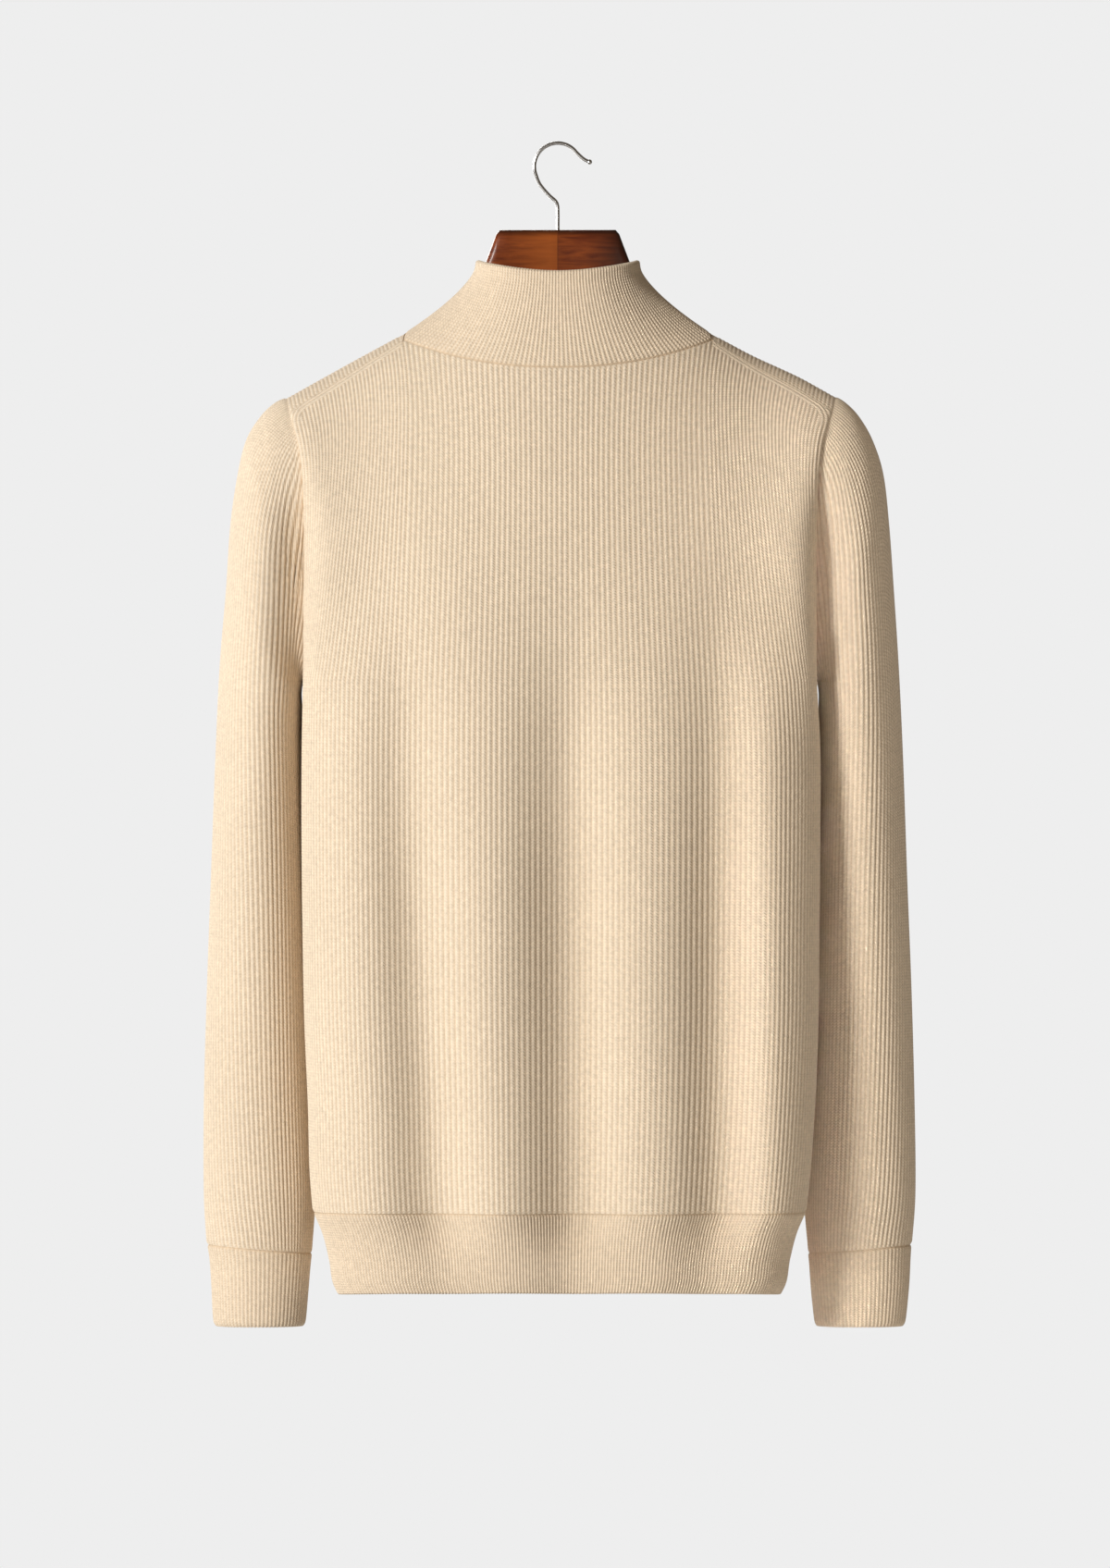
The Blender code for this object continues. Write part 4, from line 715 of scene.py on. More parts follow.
# %% Sleeves and cuffs
def band_relief(ribs, rise, seam):
    """A band's ribs fade at its seam, which lies in a bell-shaped groove, SEAM_DIP deep."""
    return relief(ribs, rise, seam) - SEAM_DIP * bell(seam, DIP_REACH)


def even_turns(columns, wide, deep):
    """Angles round an oval, from the inner arm over the back, at even steps of its outline."""
    angle = np.linspace(0.0, 2 * np.pi, 4000)
    line = np.stack([-wide * np.cos(angle), deep * np.sin(angle), angle], axis=1)
    run = run_of(line[:, :2])
    return np.interp(np.linspace(0.0, run[-1], columns + 1)[:-1], run, angle)


def arm_ring(row, side, angle):
    """An oval: across from the inner to the outer point by (1 - cosine) / 2, deep by the sine."""
    outer_x, inner_x = (row[1], row[4]) if side > 0 else (row[2], row[5])
    across = (1 - np.cos(angle)) / 2
    x = inner_x + (outer_x - inner_x) * across
    z = row[3] + (row[0] - row[3]) * across
    return np.stack([side * x, row[7] + row[6] * np.sin(angle), z], axis=-1)


def outline_way(grid):
    """Direction of the sleeve's outer line at the height of each point of the grid."""
    outer = grid[:, grid.shape[1] // 2]
    way = unit(np.gradient(outer, axis=0))
    return np.stack([np.interp(-grid[..., 2], -outer[:, 2], way[:, k]) for k in range(3)], axis=-1)


def sleeve_ribs(grid, cap):
    """Rib number at each point. Below the cap, from the outer line, each step along a row counts by
    its part that is square to the outline's direction at that height, and the rest of the half's
    ribs is added with the cube of the way round, so that the inner line is rib 0. Up through the
    cap each point takes the number of the place in the row below that its rib, laid along the
    outline's direction, runs into: the row's step and some share of a step along the row add up to
    the rib. What the inner line drifts by is taken off with the cube of the way round."""
    rows, columns = grid.shape[:2]
    half = columns // 2
    turn = outline_way(grid)
    step = np.roll(grid, -1, 1) - grid
    step = step - (step * turn).sum(-1, keepdims=True) * turn
    square = np.linalg.norm(step, axis=-1) / SLEEVE_RIB
    back = np.cumsum(square[:, half - 1::-1], axis=1)[:, ::-1]
    front = np.cumsum(square[:, half:], axis=1)
    most = half / TURNS
    full = back[:, :1]
    back = back + (most - full) * (back / full) ** 3
    full = front[:, -1:]
    front = front + (most - full) * (front / full) ** 3
    number = np.concatenate([most - back, np.full((rows, 1), most), most + front[:, :-1]], axis=1)
    places = np.arange(-columns, 2 * columns)
    for r in range(cap - 1, -1, -1):
        along = (np.roll(grid[r + 1], -1, 0) - np.roll(grid[r + 1], 1, 0)) / 2
        down = grid[r + 1] - grid[r]
        square_way = np.cross(turn[r], np.cross(down, along))
        shift = -(down * square_way).sum(-1) / (along * square_way).sum(-1)
        below = np.concatenate([number[r + 1] - columns / TURNS, number[r + 1],
                                number[r + 1] + columns / TURNS])
        number[r] = np.interp(np.arange(columns) + np.clip(shift, -8, 8), places, below)
        number[r] -= number[r, 0] * (np.abs(number[r] - most) / most) ** 3
    for _ in range(RIB_SMOOTHING):
        wide = np.concatenate([number[:1], number, number[-1:]])
        number = (wide[:-2] + 2 * number + wide[2:]) / 4
    return number


def along_ribs(grid, cap):
    """The same surface with each row's points moved along the row, so that a column is a rib."""
    rows, columns = grid.shape[:2]
    wanted = np.arange(columns) / TURNS
    made = np.empty_like(grid)
    for r, number in enumerate(sleeve_ribs(grid, cap)):
        rising = np.maximum.accumulate(number + np.arange(columns) * 1e-6)
        number = np.append(rising, columns / TURNS)
        row = np.concatenate([grid[r], grid[r, :1]])
        made[r] = np.stack([np.interp(wanted, number, row[:, k]) for k in range(3)], axis=1)
    return made


def armhole_loop(side, angle):
    """The armhole's edge at each angle: the back panel's up to the seam, then the front's."""
    points = np.zeros((len(angle), 3))
    for i, a in enumerate(angle):
        face = 1 if a <= SEAM_ANGLE else -1
        turn = a if face > 0 else 2 * np.pi - a
        turn = np.array([turn])
        points[i] = upper_point(side, face, np.array([1.0]), turn, turn, 0.0)[0]
    return points


def sunk_cap(grid):
    """The sleeve follows the armhole's seam into its valley, by the bell of the distance to it."""
    gap = np.linalg.norm(grid[:, :, None] - grid[None, None, 0], axis=-1).min(axis=2)
    made = grid.copy()
    face = np.sign(grid[:1, :, 1])
    made[..., 1] -= face * seam_sink(grid[..., 2]) * bell(gap, SINK_SLEEVE)
    return made


def spaced(rings, column, step, fine_run=0.0):
    """Places between ring numbers, so that rows lie step apart along one column, closer at the ends
    and half as far apart over the first fine_run."""
    fine = np.linspace(0, len(rings) - 1, 3000)
    run = run_of(through(fine, np.arange(len(rings)), rings[:, column]))
    last = run[-1] - EDGES[-1]
    inner = np.linspace(EDGES[-1], last, int(run[-1] / step))
    if fine_run:
        rest = np.linspace(fine_run, last, int((last - fine_run) / step))
        inner = np.concatenate([np.arange(EDGES[-1], fine_run, step / 2), rest])
    want = np.concatenate([EDGES[:-1], inner, run[-1] - np.array(EDGES[:-1])[::-1]])
    return np.interp(want, run, fine)


# %% Make the sleeves and cuffs
def make_sleeve(word, side):
    """A tube through the armhole's loop and the table's rings, with its columns laid along ribs."""
    angle = even_turns(SLEEVE_RIBS * TURNS, *SLEEVE_OVAL)
    rings = np.stack([armhole_loop(side, angle)] + [arm_ring(row, side, angle) for row in SLEEVE])
    level = spaced(rings, len(angle) // 2, SLEEVE_ROW, CAP_RUN)
    grid = through(level, np.arange(len(rings)), rings)
    grid = sunk_cap(along_ribs(grid, int(np.searchsorted(level, CAP_RING))))
    ribs, above, below = column_ribs(grid)
    height = relief(ribs, SLEEVE_RISE * uncrowded(grid), above, below)
    return knit_wall(word + "_sleeve_knit", grid, surface_normals(grid, side, closed=True), height,
                     ribs, KNIT, closed=True)


def make_cuff(word, side):
    """A tube through the cuff's rings, folded at the hand."""
    angle = even_turns(CUFF_RIBS * TURNS, *CUFF_OVAL)
    rings = np.stack([arm_ring(row, side, angle) for row in CUFF])
    level = spaced(rings, len(angle) // 2, BAND_ROW)
    grid = through(level, np.arange(len(rings)), rings)
    ribs, above, below = column_ribs(grid)
    return knit_wall(word + "_cuff_knit", grid, surface_normals(grid, side, closed=True),
                     band_relief(ribs, BAND_RISE, below), ribs, BAND_KNIT, closed=True,
                     folded=("top",), seam=below)


for word, side in (("left", 1), ("right", -1)):
    GARMENT[word + "_sleeve"] = make_sleeve(word, side)
    GARMENT[word + "_cuff"] = make_cuff(word, side)

# %% [markdown]
# ## Hem band and collar
# Both are finer ribs linked to the body's edge. The hem band draws the body in; the collar rises
# from the neckline and narrows to a folded edge. Each starts and ends at the zip.

# %% Hem band and collar
# height, share of the width, share of the depth
HEM = np.array([
    (-0.783, 1.000, 1.000), (-0.797, 0.966, 0.950), (-0.819, 0.934, 0.925),
    (-0.838, 0.914, 0.910), (-0.843, 0.900, 0.895),
])
HEM_LENGTH, HEM_RIB, HEM_LIFT, HEM_LIFT_DEPTH = 0.060, 0.0026, 0.0035, 0.085
HEM_EASE, HEM_EASE_RUN, HEM_HALF_WIDTH, ZIP_EASE = 0.65, 0.045, 0.18, 0.03
COLLAR_LENGTH, COLLAR_RIB, COLLAR_ROW, COLLAR_LEAN = 0.078, 0.0036, 0.0032, 1.5
COLLAR_RISE, COLLAR_BEAD, BEAD_REACH = 0.0008, 0.0012, 0.005  # the bead runs round the free edge
COLLAR_TOP_X, COLLAR_TOP_BACK_Y, COLLAR_TOP_FRONT_Y, COLLAR_TOP_POWER = 0.0585, 0.050, -0.063, 2.7
COLLAR_BACK_Z, COLLAR_SIDE_Z, COLLAR_FRONT_Z = -0.0965, -0.0869, -0.142


def round_the_body(row, first, last):
    """One row of all four half panels, from the left front edge round the back to the right."""
    left, back_left = HALVES[1, -1][row, first:last], HALVES[1, 1][row, first:last]
    right, back_right = HALVES[-1, -1][row, first:last], HALVES[-1, 1][row, first:last]
    return np.concatenate([left, back_left[::-1][1:], back_right[1:], right[::-1][1:]])


def levels(length, step):
    """Heights from 0 to 1 in steps, with closer ones at the ends."""
    inner = np.linspace(EDGES[-1], length - EDGES[-1], int(length / step))
    return np.concatenate([EDGES[:-1], inner, length - np.array(EDGES[:-1])[::-1]]) / length


def hem_grid(top, ribs):
    """Each lower row is the seam's row drawn in by the table's shares; the folds ease out
    downwards, and the edge is HEM_LIFT higher at the middle of the back."""
    line = along(top, ribs * TURNS)
    z = HEM[0, 0] + (HEM[-1, 0] - HEM[0, 0]) * levels(HEM_LENGTH, BAND_ROW)[::-1]
    drawn = through(-z, -HEM[:, 0], HEM[:, 1:])
    rows = np.empty((len(z), len(line), 3))
    rows[:, :, 0] = line[None, :, 0] * drawn[:, :1]
    face = np.where(line[:, 1] > 0, 1, -1)
    folded = sum(fold_depth(line[:, 0], HEM[0, 0], f) * (face == f) for f in (1, -1))
    folded = folded * (1 - (np.abs(line[:, 0]) / HEM_HALF_WIDTH) ** FOLD_EDGE_POWER).clip(0, 1)
    plain = line[:, 1] + face * folded * HEM_EASE * smooth((HEM[0, 0] - z[:, None]) / HEM_EASE_RUN)
    rows[:, :, 1] = plain * drawn[:, 1:]
    lowered = (HEM[0, 0] - z[:, None]) / (HEM[0, 0] - HEM[-1, 0])
    behind = (plain.clip(0, 1) / HEM_LIFT_DEPTH).clip(0, 1)
    rows[:, :, 2] = z[:, None] + HEM_LIFT * smooth(lowered) * behind ** 2
    edge = FRONT_EDGE_X * smooth((ZIP_EASE - np.abs(line[:, 0])) / ZIP_EASE) * (line[:, 1] < 0)
    rows[:, :, 0] += np.sign(line[:, 0]) * edge * (1 - drawn[:, :1])
    return rows


def collar_edge(share):
    """The collar's free edge: half ovals in plan, high at the sides, low at the zip."""
    turn = np.linspace(0.0, 2 * np.pi, 6000)
    x = COLLAR_TOP_X * np.sign(np.sin(turn)) * np.abs(np.sin(turn)) ** (2 / COLLAR_TOP_POWER)
    bulge = np.abs(np.cos(turn)) ** (2 / COLLAR_TOP_POWER)
    y = np.where(np.cos(turn) > 0, COLLAR_TOP_FRONT_Y, COLLAR_TOP_BACK_Y) * bulge
    keep = ~((np.cos(turn) > 0) & (np.abs(x) < FRONT_EDGE_X))
    line = np.stack([x[keep], y[keep]], axis=1)
    line[0, 0], line[-1, 0] = FRONT_EDGE_X, -FRONT_EDGE_X
    run = run_of(line) / run_of(line)[-1]
    away = np.abs(2 * share - 1)
    rise = np.sin(np.pi * np.clip(away, 0, 0.5)) ** 2
    back = COLLAR_BACK_Z + (COLLAR_SIDE_Z - COLLAR_BACK_Z) * rise
    front = (COLLAR_FRONT_Z - COLLAR_SIDE_Z) * smooth((away - 0.5) / 0.5)
    x, y = (np.interp(share, run, line[:, k]) for k in (0, 1))
    return np.stack([x, y, back + front], axis=-1)


def collar_grid(neckline, ribs):
    """From the neckline to the free edge, leaning in by 1 - (1 - s) to the power COLLAR_LEAN."""
    line = along(neckline, ribs * TURNS)
    top = collar_edge(np.linspace(0.0, 1.0, len(line)))
    s = levels(COLLAR_LENGTH, COLLAR_ROW)[:, None, None]
    rows = line + (top - line) * (1 - (1 - s) ** COLLAR_LEAN)
    rows[:, :, 2] = line[:, 2] + (top[:, 2] - line[:, 2]) * s[:, :, 0]
    return rows


# %% Make the hem band and the collar
hem_line = round_the_body(0, 0, None)
hem_ribs = int(round(run_of(hem_line)[-1] / HEM_RIB))
hem = hem_grid(hem_line, hem_ribs)
ribs, above, below = column_ribs(hem)
GARMENT["hem_band"] = knit_wall(
    "hem_band_knit", hem, surface_normals(hem, 1), band_relief(ribs, BAND_RISE, above), ribs,
    BAND_KNIT, folded=("bottom",), seam=above)
neckline = round_the_body(-1, 0, NECK_RIBS * TURNS + 1)
collar_ribs = int(round(run_of(neckline)[-1] / COLLAR_RIB))
collar = collar_grid(neckline, collar_ribs)
ribs, above, below = column_ribs(collar)
height = band_relief(ribs, COLLAR_RISE, below) + COLLAR_BEAD * bell(above, BEAD_REACH)
GARMENT["collar"] = knit_wall(
    "collar_knit", collar, surface_normals(collar, 1), height, ribs, BAND_KNIT,
    folded=("top",), seam=below)
print("hem ribs", hem_ribs, "collar ribs", collar_ribs)

# %% [markdown]
# ## The zip
# A metal zip is two woven tapes behind the front edges with a row of teeth on each, meshed into one
# another. The CAD model has one plain bar for the chain; here each tooth is its own small block,
# placed along the cloth's centre-front line, and the slider, pull and box keep their CAD shapes.

# %% Metal and tape materials
def metal_material(name, colour, roughness, brush, strength):
    """A metal whose roughness varies with smudges, with tone and bump from stretched noise."""
    material, shader, tree = new_material(name)
    place = object_place(tree)
    stretched = node(tree, "Mapping", {"Vector": place, "Scale": (1.0, 1.0, 0.08)}).outputs[0]
    scratches, smudge = noise(tree, stretched, brush, 4.0), noise(tree, place, 160.0, 2.0)
    varied = plus(tree, times(tree, smudge, 0.06), roughness - 0.03)
    tree.links.new(varied, shader.inputs["Roughness"])
    tone = mix_colours(tree, scratches, (*[c * 0.82 for c in colour], 1.0), (*colour, 1.0))
    dress(tree, shader, tone, scratches, strength, 0.0002, Metallic=1.0)
    return material


def tape_material(name, colour):
    """Woven twill: the sum of two sines across each other in Object coordinates, as bump and
    tone."""
    material, shader, tree = new_material(name)
    axes = node(tree, "SeparateXYZ", {0: object_place(tree)})
    x, z = axes.outputs[0], axes.outputs[2]
    across = math_node(tree, "SINE", times(tree, plus(tree, x, z), 9000.0))
    lengthwise = math_node(tree, "SINE", times(tree, z, 6000.0))
    weave = plus(tree, times(tree, across, 0.3), times(tree, lengthwise, 0.2))
    dark = (*[c * 0.8 for c in colour], 1.0)
    tone = mix_colours(tree, plus(tree, weave, 0.5), dark, (*colour, 1.0))
    dress(tree, shader, tone, weave, 0.4, 0.0002, Roughness=0.85, Sheen_Weight=0.15)
    return material


ZIP_METAL = metal_material("zip metal", (0.50, 0.47, 0.42), 0.36, 900.0, 0.08)
TAPE = tape_material("zip tape", (0.78, 0.66, 0.49))
for name, finish in (("zip_slider", ZIP_METAL), ("zip_pull", ZIP_METAL), ("zip_box", ZIP_METAL),
                     ("zip_tape_left", TAPE), ("zip_tape_right", TAPE)):
    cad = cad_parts[name]
    cad.data.materials.clear()
    cad.data.materials.append(finish)
    print(name, "in", finish.name)


# %% Teeth along the centre front
# x from the zip's middle and half height of one tooth's corners, from root to head
TOOTH = np.array([
    (0.0027, 0.00062), (0.0012, 0.00062), (0.0004, 0.00080), (-0.0007, 0.00066),
    (-0.0011, 0.00040),
])
TOOTH_PITCH, TOOTH_AHEAD = 0.0030, 0.002
# depth under the cloth's face and size: the tooth's front, its bevel and its back
TOOTH_LAYERS = ((0.0005, 0.80), (0.0005 + 0.0003, 1.0), (0.0021, 1.0))
ZIP_TOP, ZIP_FOOT = 0.0175, 0.0120  # the chain's ends from the collar's and the hem's edges


def tooth_points():
    """A tooth's outline in x and height, once at its small front, its bevel and its back."""
    line = np.concatenate([TOOTH, TOOTH[::-1] * (1, -1)])
    middle = line.mean(axis=0)
    return np.concatenate([
        np.column_stack([middle + (line - middle) * size, np.full(len(line), depth)])
        for depth, size in TOOTH_LAYERS])


def teeth(path):
    """Copies of the tooth at even steps along the path, every other one mirrored in x and set half
    a pitch on; each is turned to the path's direction there."""
    run = run_of(path)
    want = np.arange(ZIP_FOOT, run[-1] - ZIP_TOP, TOOTH_PITCH / 2)
    here, ahead = (np.stack([np.interp(at, run, path[:, k]) for k in range(2)], axis=1)
                   for at in (want, want + TOOTH_AHEAD))
    up = unit(ahead - here)
    inward = np.stack([up[:, 1], -up[:, 0]], axis=1)
    inward = inward * np.sign(inward[:, :1])
    shape = tooth_points()
    hand = np.where(np.arange(len(want)) % 2, -1.0, 1.0)[:, None]
    x, tall, deep = shape.T[:, None]
    x = hand * x
    y = here[:, :1] + up[:, :1] * tall + inward[:, :1] * deep
    z = here[:, 1:] + up[:, 1:] * tall + inward[:, 1:] * deep
    return np.stack([x, y, z], axis=-1), hand[:, 0]


def tooth_faces(size):
    """A tooth's side walls between its three outlines of size corners, each a quad per corner."""
    here = np.arange(size)
    ahead = (here + 1) % size
    low = np.array([0, size])[:, None]
    return np.stack([low + here, low + ahead, low + size + ahead, low + size + here],
                    axis=-1).reshape(-1, 4)


zip_path = np.concatenate([hem[:, 0, 1:], HALVES[1, -1][:, 0, 1:], collar[:, 0, 1:]])
placed_teeth, hand = teeth(zip_path)
size = len(TOOTH) * 2
corner = np.arange(size)
side_walls = tooth_faces(size)
caps = np.stack([corner, 2 * size + corner[::-1]])
firsts = (np.arange(len(hand)) * 3 * size)[:, None, None]
walls_made, caps_made = firsts + side_walls, firsts + caps
left, right = hand > 0, hand < 0
blocks = [walls_made[left][:, :, ::-1].reshape(-1, 4), walls_made[right].reshape(-1, 4),
          caps_made[left][:, :, ::-1].reshape(-1, size), caps_made[right].reshape(-1, size)]
zip_teeth = make_mesh("zip_teeth", placed_teeth.reshape(-1, 3), blocks, ZIP_METAL)
zip_teeth.data.polygons.foreach_set("use_smooth", np.zeros(len(zip_teeth.data.polygons), bool))
print("teeth", len(hand))

# %% [markdown]
# ## Hanger and hook
# The hanger is two arms of hardwood glued at the middle, sanded round and varnished a glossy red
# brown. A subdivided box would do, but a loft of rounded sections gives its flat neck and its
# shoulders directly. The hook is one bent wire with a rounded end, chromed.

# %% Hanger tables
# x, top z, bottom z, half thickness
HANGER_NECK = np.array([
    (0.0000, -0.0625, -0.1240, 0.0090), (0.0425, -0.0625, -0.1270, 0.0090),
    (0.0452, -0.0655, -0.1275, 0.0090), (0.0525, -0.0850, -0.1290, 0.0090),
    (0.0600, -0.1035, -0.1310, 0.0092), (0.0740, -0.1235, -0.1420, 0.0100),
])
HANGER_ARM_X, HANGER_END_X = 0.098, 0.1905
HANGER_DROP, HANGER_COLLAR_DROP = 0.0059, 0.0112
WIRE_RADIUS, HOOK_RADIUS, BALL_RADIUS = 0.00135, 0.0172, 0.0019
HANGER_TOP_Z, HOLE_DEPTH, HOOK_CLEAR = -0.0625, 0.020, 0.0003
# x and z of the wire's middle line below and above its round crown
HOOK_NECK = ((0.0, -0.060), (0.0, -0.050), (0.0003, -0.0445), (0.0018, -0.0412), (0.0058, -0.0376),
             (0.0105, -0.0325), (0.0140, -0.0275))
HOOK_LIP = ((-0.0178, -0.0094), (-0.0205, -0.0113), (-0.0226, -0.0122))


# %% The hanger's wood
WOOD_RAMP = ((0.30, (0.078, 0.012, 0.004, 1.0)), (0.72, (0.290, 0.064, 0.012, 1.0)))
# the warm glow is a painted highlight; the end colour is painted shade
WOOD_PAINTED_GLOW, WOOD_END_SHADE = (0.43, 0.108, 0.016, 1.0), (0.030, 0.008, 0.004, 1.0)
WOOD_LINE = (0.020, 0.006, 0.003, 1.0)  # the glued joint and the top edge


def wood_material():
    """Grain: noise stretched along the hanger and leaned. The +X half has a painted highlight,
    a warm patch by the middle, from x; the -X end is darker by painted shade, from x; the joint
    and the top edge are darker, from x and the height."""
    material, shader, tree = new_material("varnished hanger wood")
    place = object_place(tree)
    axes = node(tree, "SeparateXYZ", {0: place})
    x, z = axes.outputs[0], axes.outputs[2]
    left_half = math_node(tree, "GREATER_THAN", x, 0.0)
    leaned = node(tree, "Mapping", {"Vector": place, "Rotation": (0.0, 0.45, 0.0),
                                    "Scale": (5.0, 30.0, 42.0)}).outputs[0]
    grain = noise(tree, leaned, 7.0, 6.0, Roughness=0.62, Distortion=0.6)
    pores = noise(tree, leaned, 42.0, 3.0, Roughness=0.7)
    ramp = node(tree, "ValToRGB", {0: grain})
    for element, (place_on_ramp, colour) in zip(ramp.color_ramp.elements, WOOD_RAMP):
        element.position, element.color = place_on_ramp, colour
    # painted highlight: a warm glow on the +X half by the middle, mixed into the wood's colour
    from_painted_glow = math_node(tree, "ABSOLUTE", math_node(tree, "SUBTRACT", x, 0.006))
    painted_glow_left = times(tree, between(tree, from_painted_glow, 0.0, 0.034, 1.0, 0.0), left_half)
    warm = mix_colours(tree, times(tree, painted_glow_left, 0.55), ramp.outputs[0], WOOD_PAINTED_GLOW)
    # painted shade: the -X arm darkens towards its end, from x
    ends = between(tree, times(tree, x, -1.0), 0.020, 0.045, 0.0, 0.92)
    shaded = mix_colours(tree, ends, warm, WOOD_END_SHADE)
    line = math_node(tree, "LESS_THAN", math_node(tree, "ABSOLUTE", x), 0.00035)
    top = between(tree, z, -0.0680, -0.0640, 0.0, 0.78)
    dark = math_node(tree, "MAXIMUM", times(tree, line, 0.45), top)
    rough = plus(tree, times(tree, pores, 0.2), 0.22)
    tree.links.new(rough, shader.inputs["Roughness"])
    dress(tree, shader, mix_colours(tree, dark, shaded, WOOD_LINE), pores, 0.06, 0.0003,
          Specular_IOR_Level=0.30, Coat_Weight=0.15, Coat_Roughness=0.16)
    return material


# %% Hanger
def hanger_sections(count=34):
    """x, top, bottom and half thickness: the neck's table in short steps, then an arm that lies
    HANGER_DROP under the shoulder's ridge, and more under the collar's seam."""
    arm_x = np.linspace(HANGER_ARM_X, HANGER_END_X, count)
    share = (arm_x - arm_x[0]) / (arm_x[-1] - arm_x[0])
    top = ridge_z(arm_x) - HANGER_DROP - HANGER_COLLAR_DROP * (1 - smooth((arm_x - 0.110) / 0.030))
    arm = np.stack([arm_x, top, top - 0.022 - 0.004 * share, 0.010 + 0.003 * smooth(share)], axis=1)
    bend = through(np.linspace(0, 1, 12), (0, 1), np.array([HANGER_NECK[-1], arm[0]]))[1:-1]
    neck_x = np.concatenate([np.linspace(0, 0.0425, 8), np.linspace(0.0425, 0.0452, 5)[1:],
                             np.linspace(0.0452, 0.074, 12)[1:]])
    sizes = [np.interp(neck_x, HANGER_NECK[:, 0], HANGER_NECK[:, k]) for k in (1, 2, 3)]
    neck = np.stack([neck_x, *sizes], axis=1)
    turn = np.radians(np.linspace(10, 90, 9))
    end = arm[-1] + np.stack([0.004 * np.sin(turn), -0.007 * (1 - np.cos(turn)),
                              0.004 * (1 - np.cos(turn)), -0.001 * (1 - np.cos(turn))], axis=1)
    return np.concatenate([neck, bend, arm, end])


def hanger_rings(rows, sides=44):
    """Each section is a rounded bar: cosine and sine, each to a power that makes it squarer."""
    turn = np.linspace(0.0, 2 * np.pi, sides, endpoint=False) + np.pi / sides
    x, top, bottom, thick = (rows[:, k:k + 1] for k in range(4))
    power = 2 / (3.6 - 1.4 * smooth((np.abs(x) - 0.05) / 0.04))
    c, s = np.cos(turn)[None], np.sin(turn)[None]
    y = thick * np.sign(c) * np.abs(c) ** power
    z = (top + bottom) / 2 + (top - bottom) / 2 * np.sign(s) * np.abs(s) ** power
    return np.stack([np.broadcast_to(x, y.shape), y, z], axis=-1)


def loft(name, rings, material):
    """Quads between rings that close on themselves, and one face over each end."""
    rows, sides = rings.shape[:2]
    r, c = np.arange(rows - 1)[:, None], np.arange(sides)[None, :]
    a, b = r * sides + c, r * sides + (c + 1) % sides
    quads = np.stack([a, b, b + sides, a + sides], axis=-1).reshape(-1, 4)
    ends = np.stack([np.arange(sides)[::-1], (rows - 1) * sides + np.arange(sides)])
    centre = rings.mean(axis=1, keepdims=True)
    out = np.cross(rings[:-1, 1:] - rings[:-1, :-1], rings[1:, :-1] - rings[:-1, :-1])
    if (out * (rings - centre)[:-1, :-1]).sum() < 0:
        quads, ends = quads[:, ::-1], ends[:, ::-1]
    return make_mesh(name, rings.reshape(-1, 3), [quads, ends], material)


half_rows = hanger_sections()
rows = np.concatenate([half_rows[:0:-1] * (-1, 1, 1, 1), half_rows])
hanger_wood = loft("hanger_wood", hanger_rings(rows), wood_material())

# %% Hook
def wire_rings(line, radius, sides=16):
    """Circles square to a plane line in x and z: the line's direction turned a quarter, and y."""
    way = unit(np.gradient(line, axis=0))
    out = np.stack([way[:, 1], -way[:, 0]], axis=1)
    turn = np.linspace(0.0, 2 * np.pi, sides, endpoint=False)
    c, s = np.cos(turn)[None, :] * radius[:, None], np.sin(turn)[None, :] * radius[:, None]
    return np.stack([line[:, :1] + out[:, :1] * c, s, line[:, 1:] + out[:, 1:] * c], axis=-1)


CHROME = metal_material("hook chrome", (0.72, 0.72, 0.73), 0.24, 500.0, 0.002)
bend = np.radians(np.arange(196, 26, -10.0))
crown = [(-HOOK_RADIUS * math.cos(a), WIRE_RADIUS - HOOK_RADIUS + HOOK_RADIUS * math.sin(a))
         for a in bend]
foot = (0.0, HANGER_TOP_Z - HOLE_DEPTH + HOOK_CLEAR)
points = np.array([foot, *HOOK_NECK, *crown, *HOOK_LIP])
fine = np.linspace(0, len(points) - 1, 260)
wire = through(fine, np.arange(len(points)), points)
hook_wire = loft("hook_wire", wire_rings(wire, np.full(len(wire), WIRE_RADIUS)), CHROME)
tip = wire[-1] + unit(wire[-1] - wire[-2]) * 0.0008
turn = np.radians(np.linspace(2, 178, 20))
ball_line = tip - unit(wire[-1] - wire[-2]) * BALL_RADIUS * np.cos(turn)[:, None]
hook_ball = loft("hook_ball", wire_rings(ball_line, BALL_RADIUS * np.sin(turn), 20), CHROME)

# %% [markdown]
# ## Riding on the frame
# Every piece moves with a CAD body. The cloth, the zip's teeth, the hanger and its hook are all on
# the garment's body; only the pull tab swings, and it keeps its CAD node.

# %% Ride and replace
for node_name, piece in GARMENT.items():
    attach(piece, "garment")
    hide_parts(node_name)
for piece, node_name in ((zip_teeth, "zip_chain"), (hanger_wood, "hanger"), (hook_wire, "hook")):
    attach(piece, "garment")
    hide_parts(node_name)
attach(hook_ball, "garment")

# %% [markdown]
# ## Studio
# The photograph is a plain product shot of the back: a long lens, level with the garment's middle,
# a large soft light from the picture's left, and shadows filled only by the room.

# %% Floor
FLOOR_Z, FLOOR_RADIUS, FLOOR_SIDES = -1.37, 4.2, 96


def plain_material(name, colour, roughness):
    """One colour, faintly mottled by slow noise."""
    material, shader, tree = new_material(name)
    clouds = noise(tree, object_place(tree), 1.5, 2.0)
    tone = mix_colours(tree, clouds, (*[c * 0.97 for c in colour], 1.0), (*colour, 1.0))
    tree.links.new(tone, shader.inputs["Base Color"])
    shader.inputs["Roughness"].default_value = roughness
    return material


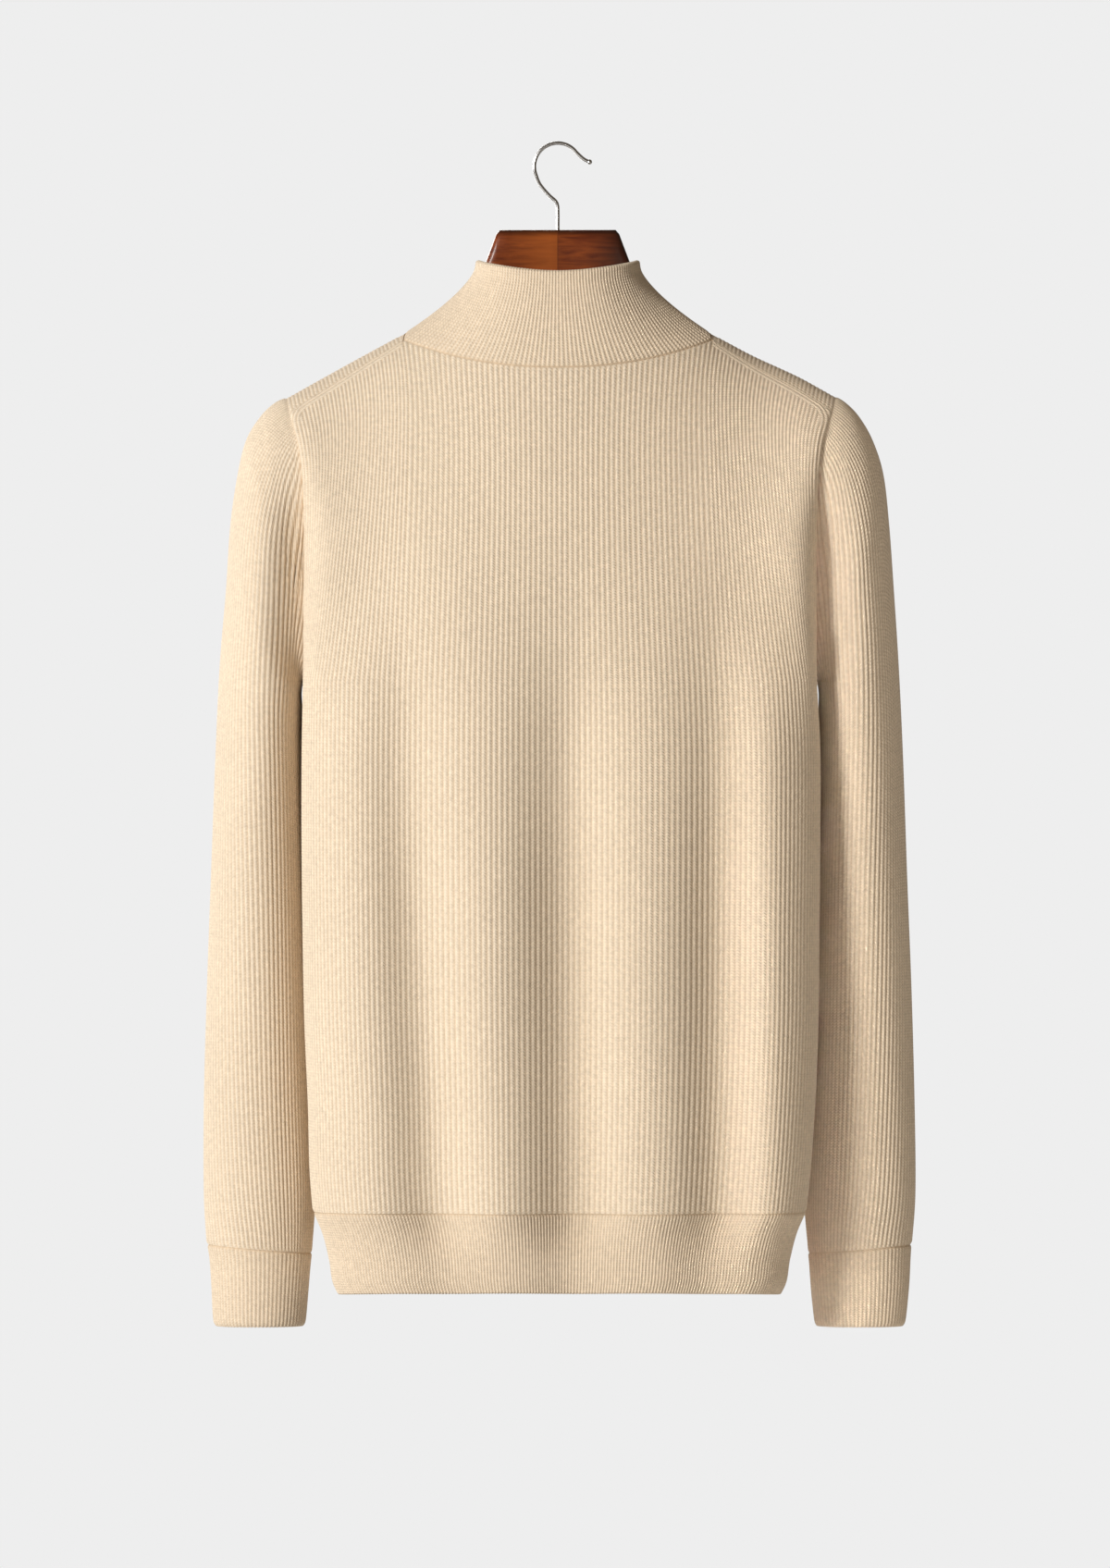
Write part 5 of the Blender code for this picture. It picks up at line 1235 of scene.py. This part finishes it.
turn = np.linspace(0, 2 * np.pi, FLOOR_SIDES, endpoint=False)
rim = np.stack([FLOOR_RADIUS * np.cos(turn), FLOOR_RADIUS * np.sin(turn),
                np.full(FLOOR_SIDES, FLOOR_Z)], axis=1)
floor = make_mesh("floor", rim, [np.arange(FLOOR_SIDES)[None]],
                  plain_material("pale floor", (0.80, 0.79, 0.77), 0.8))

# %% Light
def soft_light(name, place, aim, size, power, colour, beam=math.pi):
    """An area light, wide and high as size says, turned so that its -Z axis points at aim; power
    is in watts and beam is the angle that it spreads over."""
    data = bpy.data.lights.new(name, "AREA")
    data.shape = "RECTANGLE"
    data.size, data.size_y = size
    data.energy, data.color, data.spread = power, colour, beam
    lamp = bpy.data.objects.new(name, data)
    lamp.location = place
    lamp.rotation_euler = (Vector(aim) - Vector(place)).to_track_quat("-Z", "Y").to_euler()
    bpy.context.scene.collection.objects.link(lamp)
    print(name, "light,", power, "W")


MIDDLE = (0.0, 0.0, -0.47)
soft_light("key", (4.0, 4.9, 1.3), MIDDLE, (1.5, 1.5), 365.0, (1.0, 0.985, 0.955))
soft_light("rim", (4.4, 1.3, 0.6), MIDDLE, (1.0, 2.0), 45.0, (0.86, 0.93, 1.0))
soft_light("strip", (-0.6, 3.2, -0.52), (-0.205, 0.0, -0.52), (0.2, 1.0), 0.17,
           (1.0, 0.93, 0.84), 0.10)
soft_light("front fill", (1.2, -3.2, 0.4), MIDDLE, (2.4, 2.4), 95.0, (1.0, 0.97, 0.93))

# %% Backdrop
# the camera sees a pale grey; everything else is lit by a faint warm room
world = bpy.data.worlds.new("studio")
bpy.context.scene.world = world
world.use_nodes = True
tree = world.node_tree
seen, around = tree.nodes["Background"], tree.nodes.new("ShaderNodeBackground")
for shade, colour, strength in ((seen, (0.855, 0.855, 0.855, 1.0), 1.0),
                                (around, (1.0, 0.82, 0.62, 1.0), 0.12)):
    shade.inputs[0].default_value, shade.inputs[1].default_value = colour, strength
paths, joined = tree.nodes.new("ShaderNodeLightPath"), tree.nodes.new("ShaderNodeMixShader")
tree.links.new(paths.outputs["Is Camera Ray"], joined.inputs[0])
tree.links.new(around.outputs[0], joined.inputs[1])
tree.links.new(seen.outputs[0], joined.inputs[2])
tree.links.new(joined.outputs[0], tree.nodes["World Output"].inputs["Surface"])

# %% Camera
PIXEL, PICTURE_HEIGHT = 0.00068, 1695  # metres to a pixel, and the picture's height in pixels
HOOK_ROW = 156.7  # the row of pixels at z = 0
DISTANCE, SENSOR = 8.0, 36.0
lens = bpy.data.cameras.new("long lens")
lens.sensor_width = SENSOR
lens.lens = SENSOR * DISTANCE / (PICTURE_HEIGHT * PIXEL)
lens.clip_end = 60.0
camera = bpy.data.objects.new("camera", lens)
camera.location = (0.002, DISTANCE, (HOOK_ROW - PICTURE_HEIGHT / 2) * PIXEL)
camera.rotation_euler = (math.pi / 2, 0.0, math.pi)
bpy.context.scene.collection.objects.link(camera)
bpy.context.scene.camera = camera
bpy.context.scene.view_settings.view_transform = "Standard"
print("camera at", tuple(camera.location), "lens", round(lens.lens, 1), "mm")
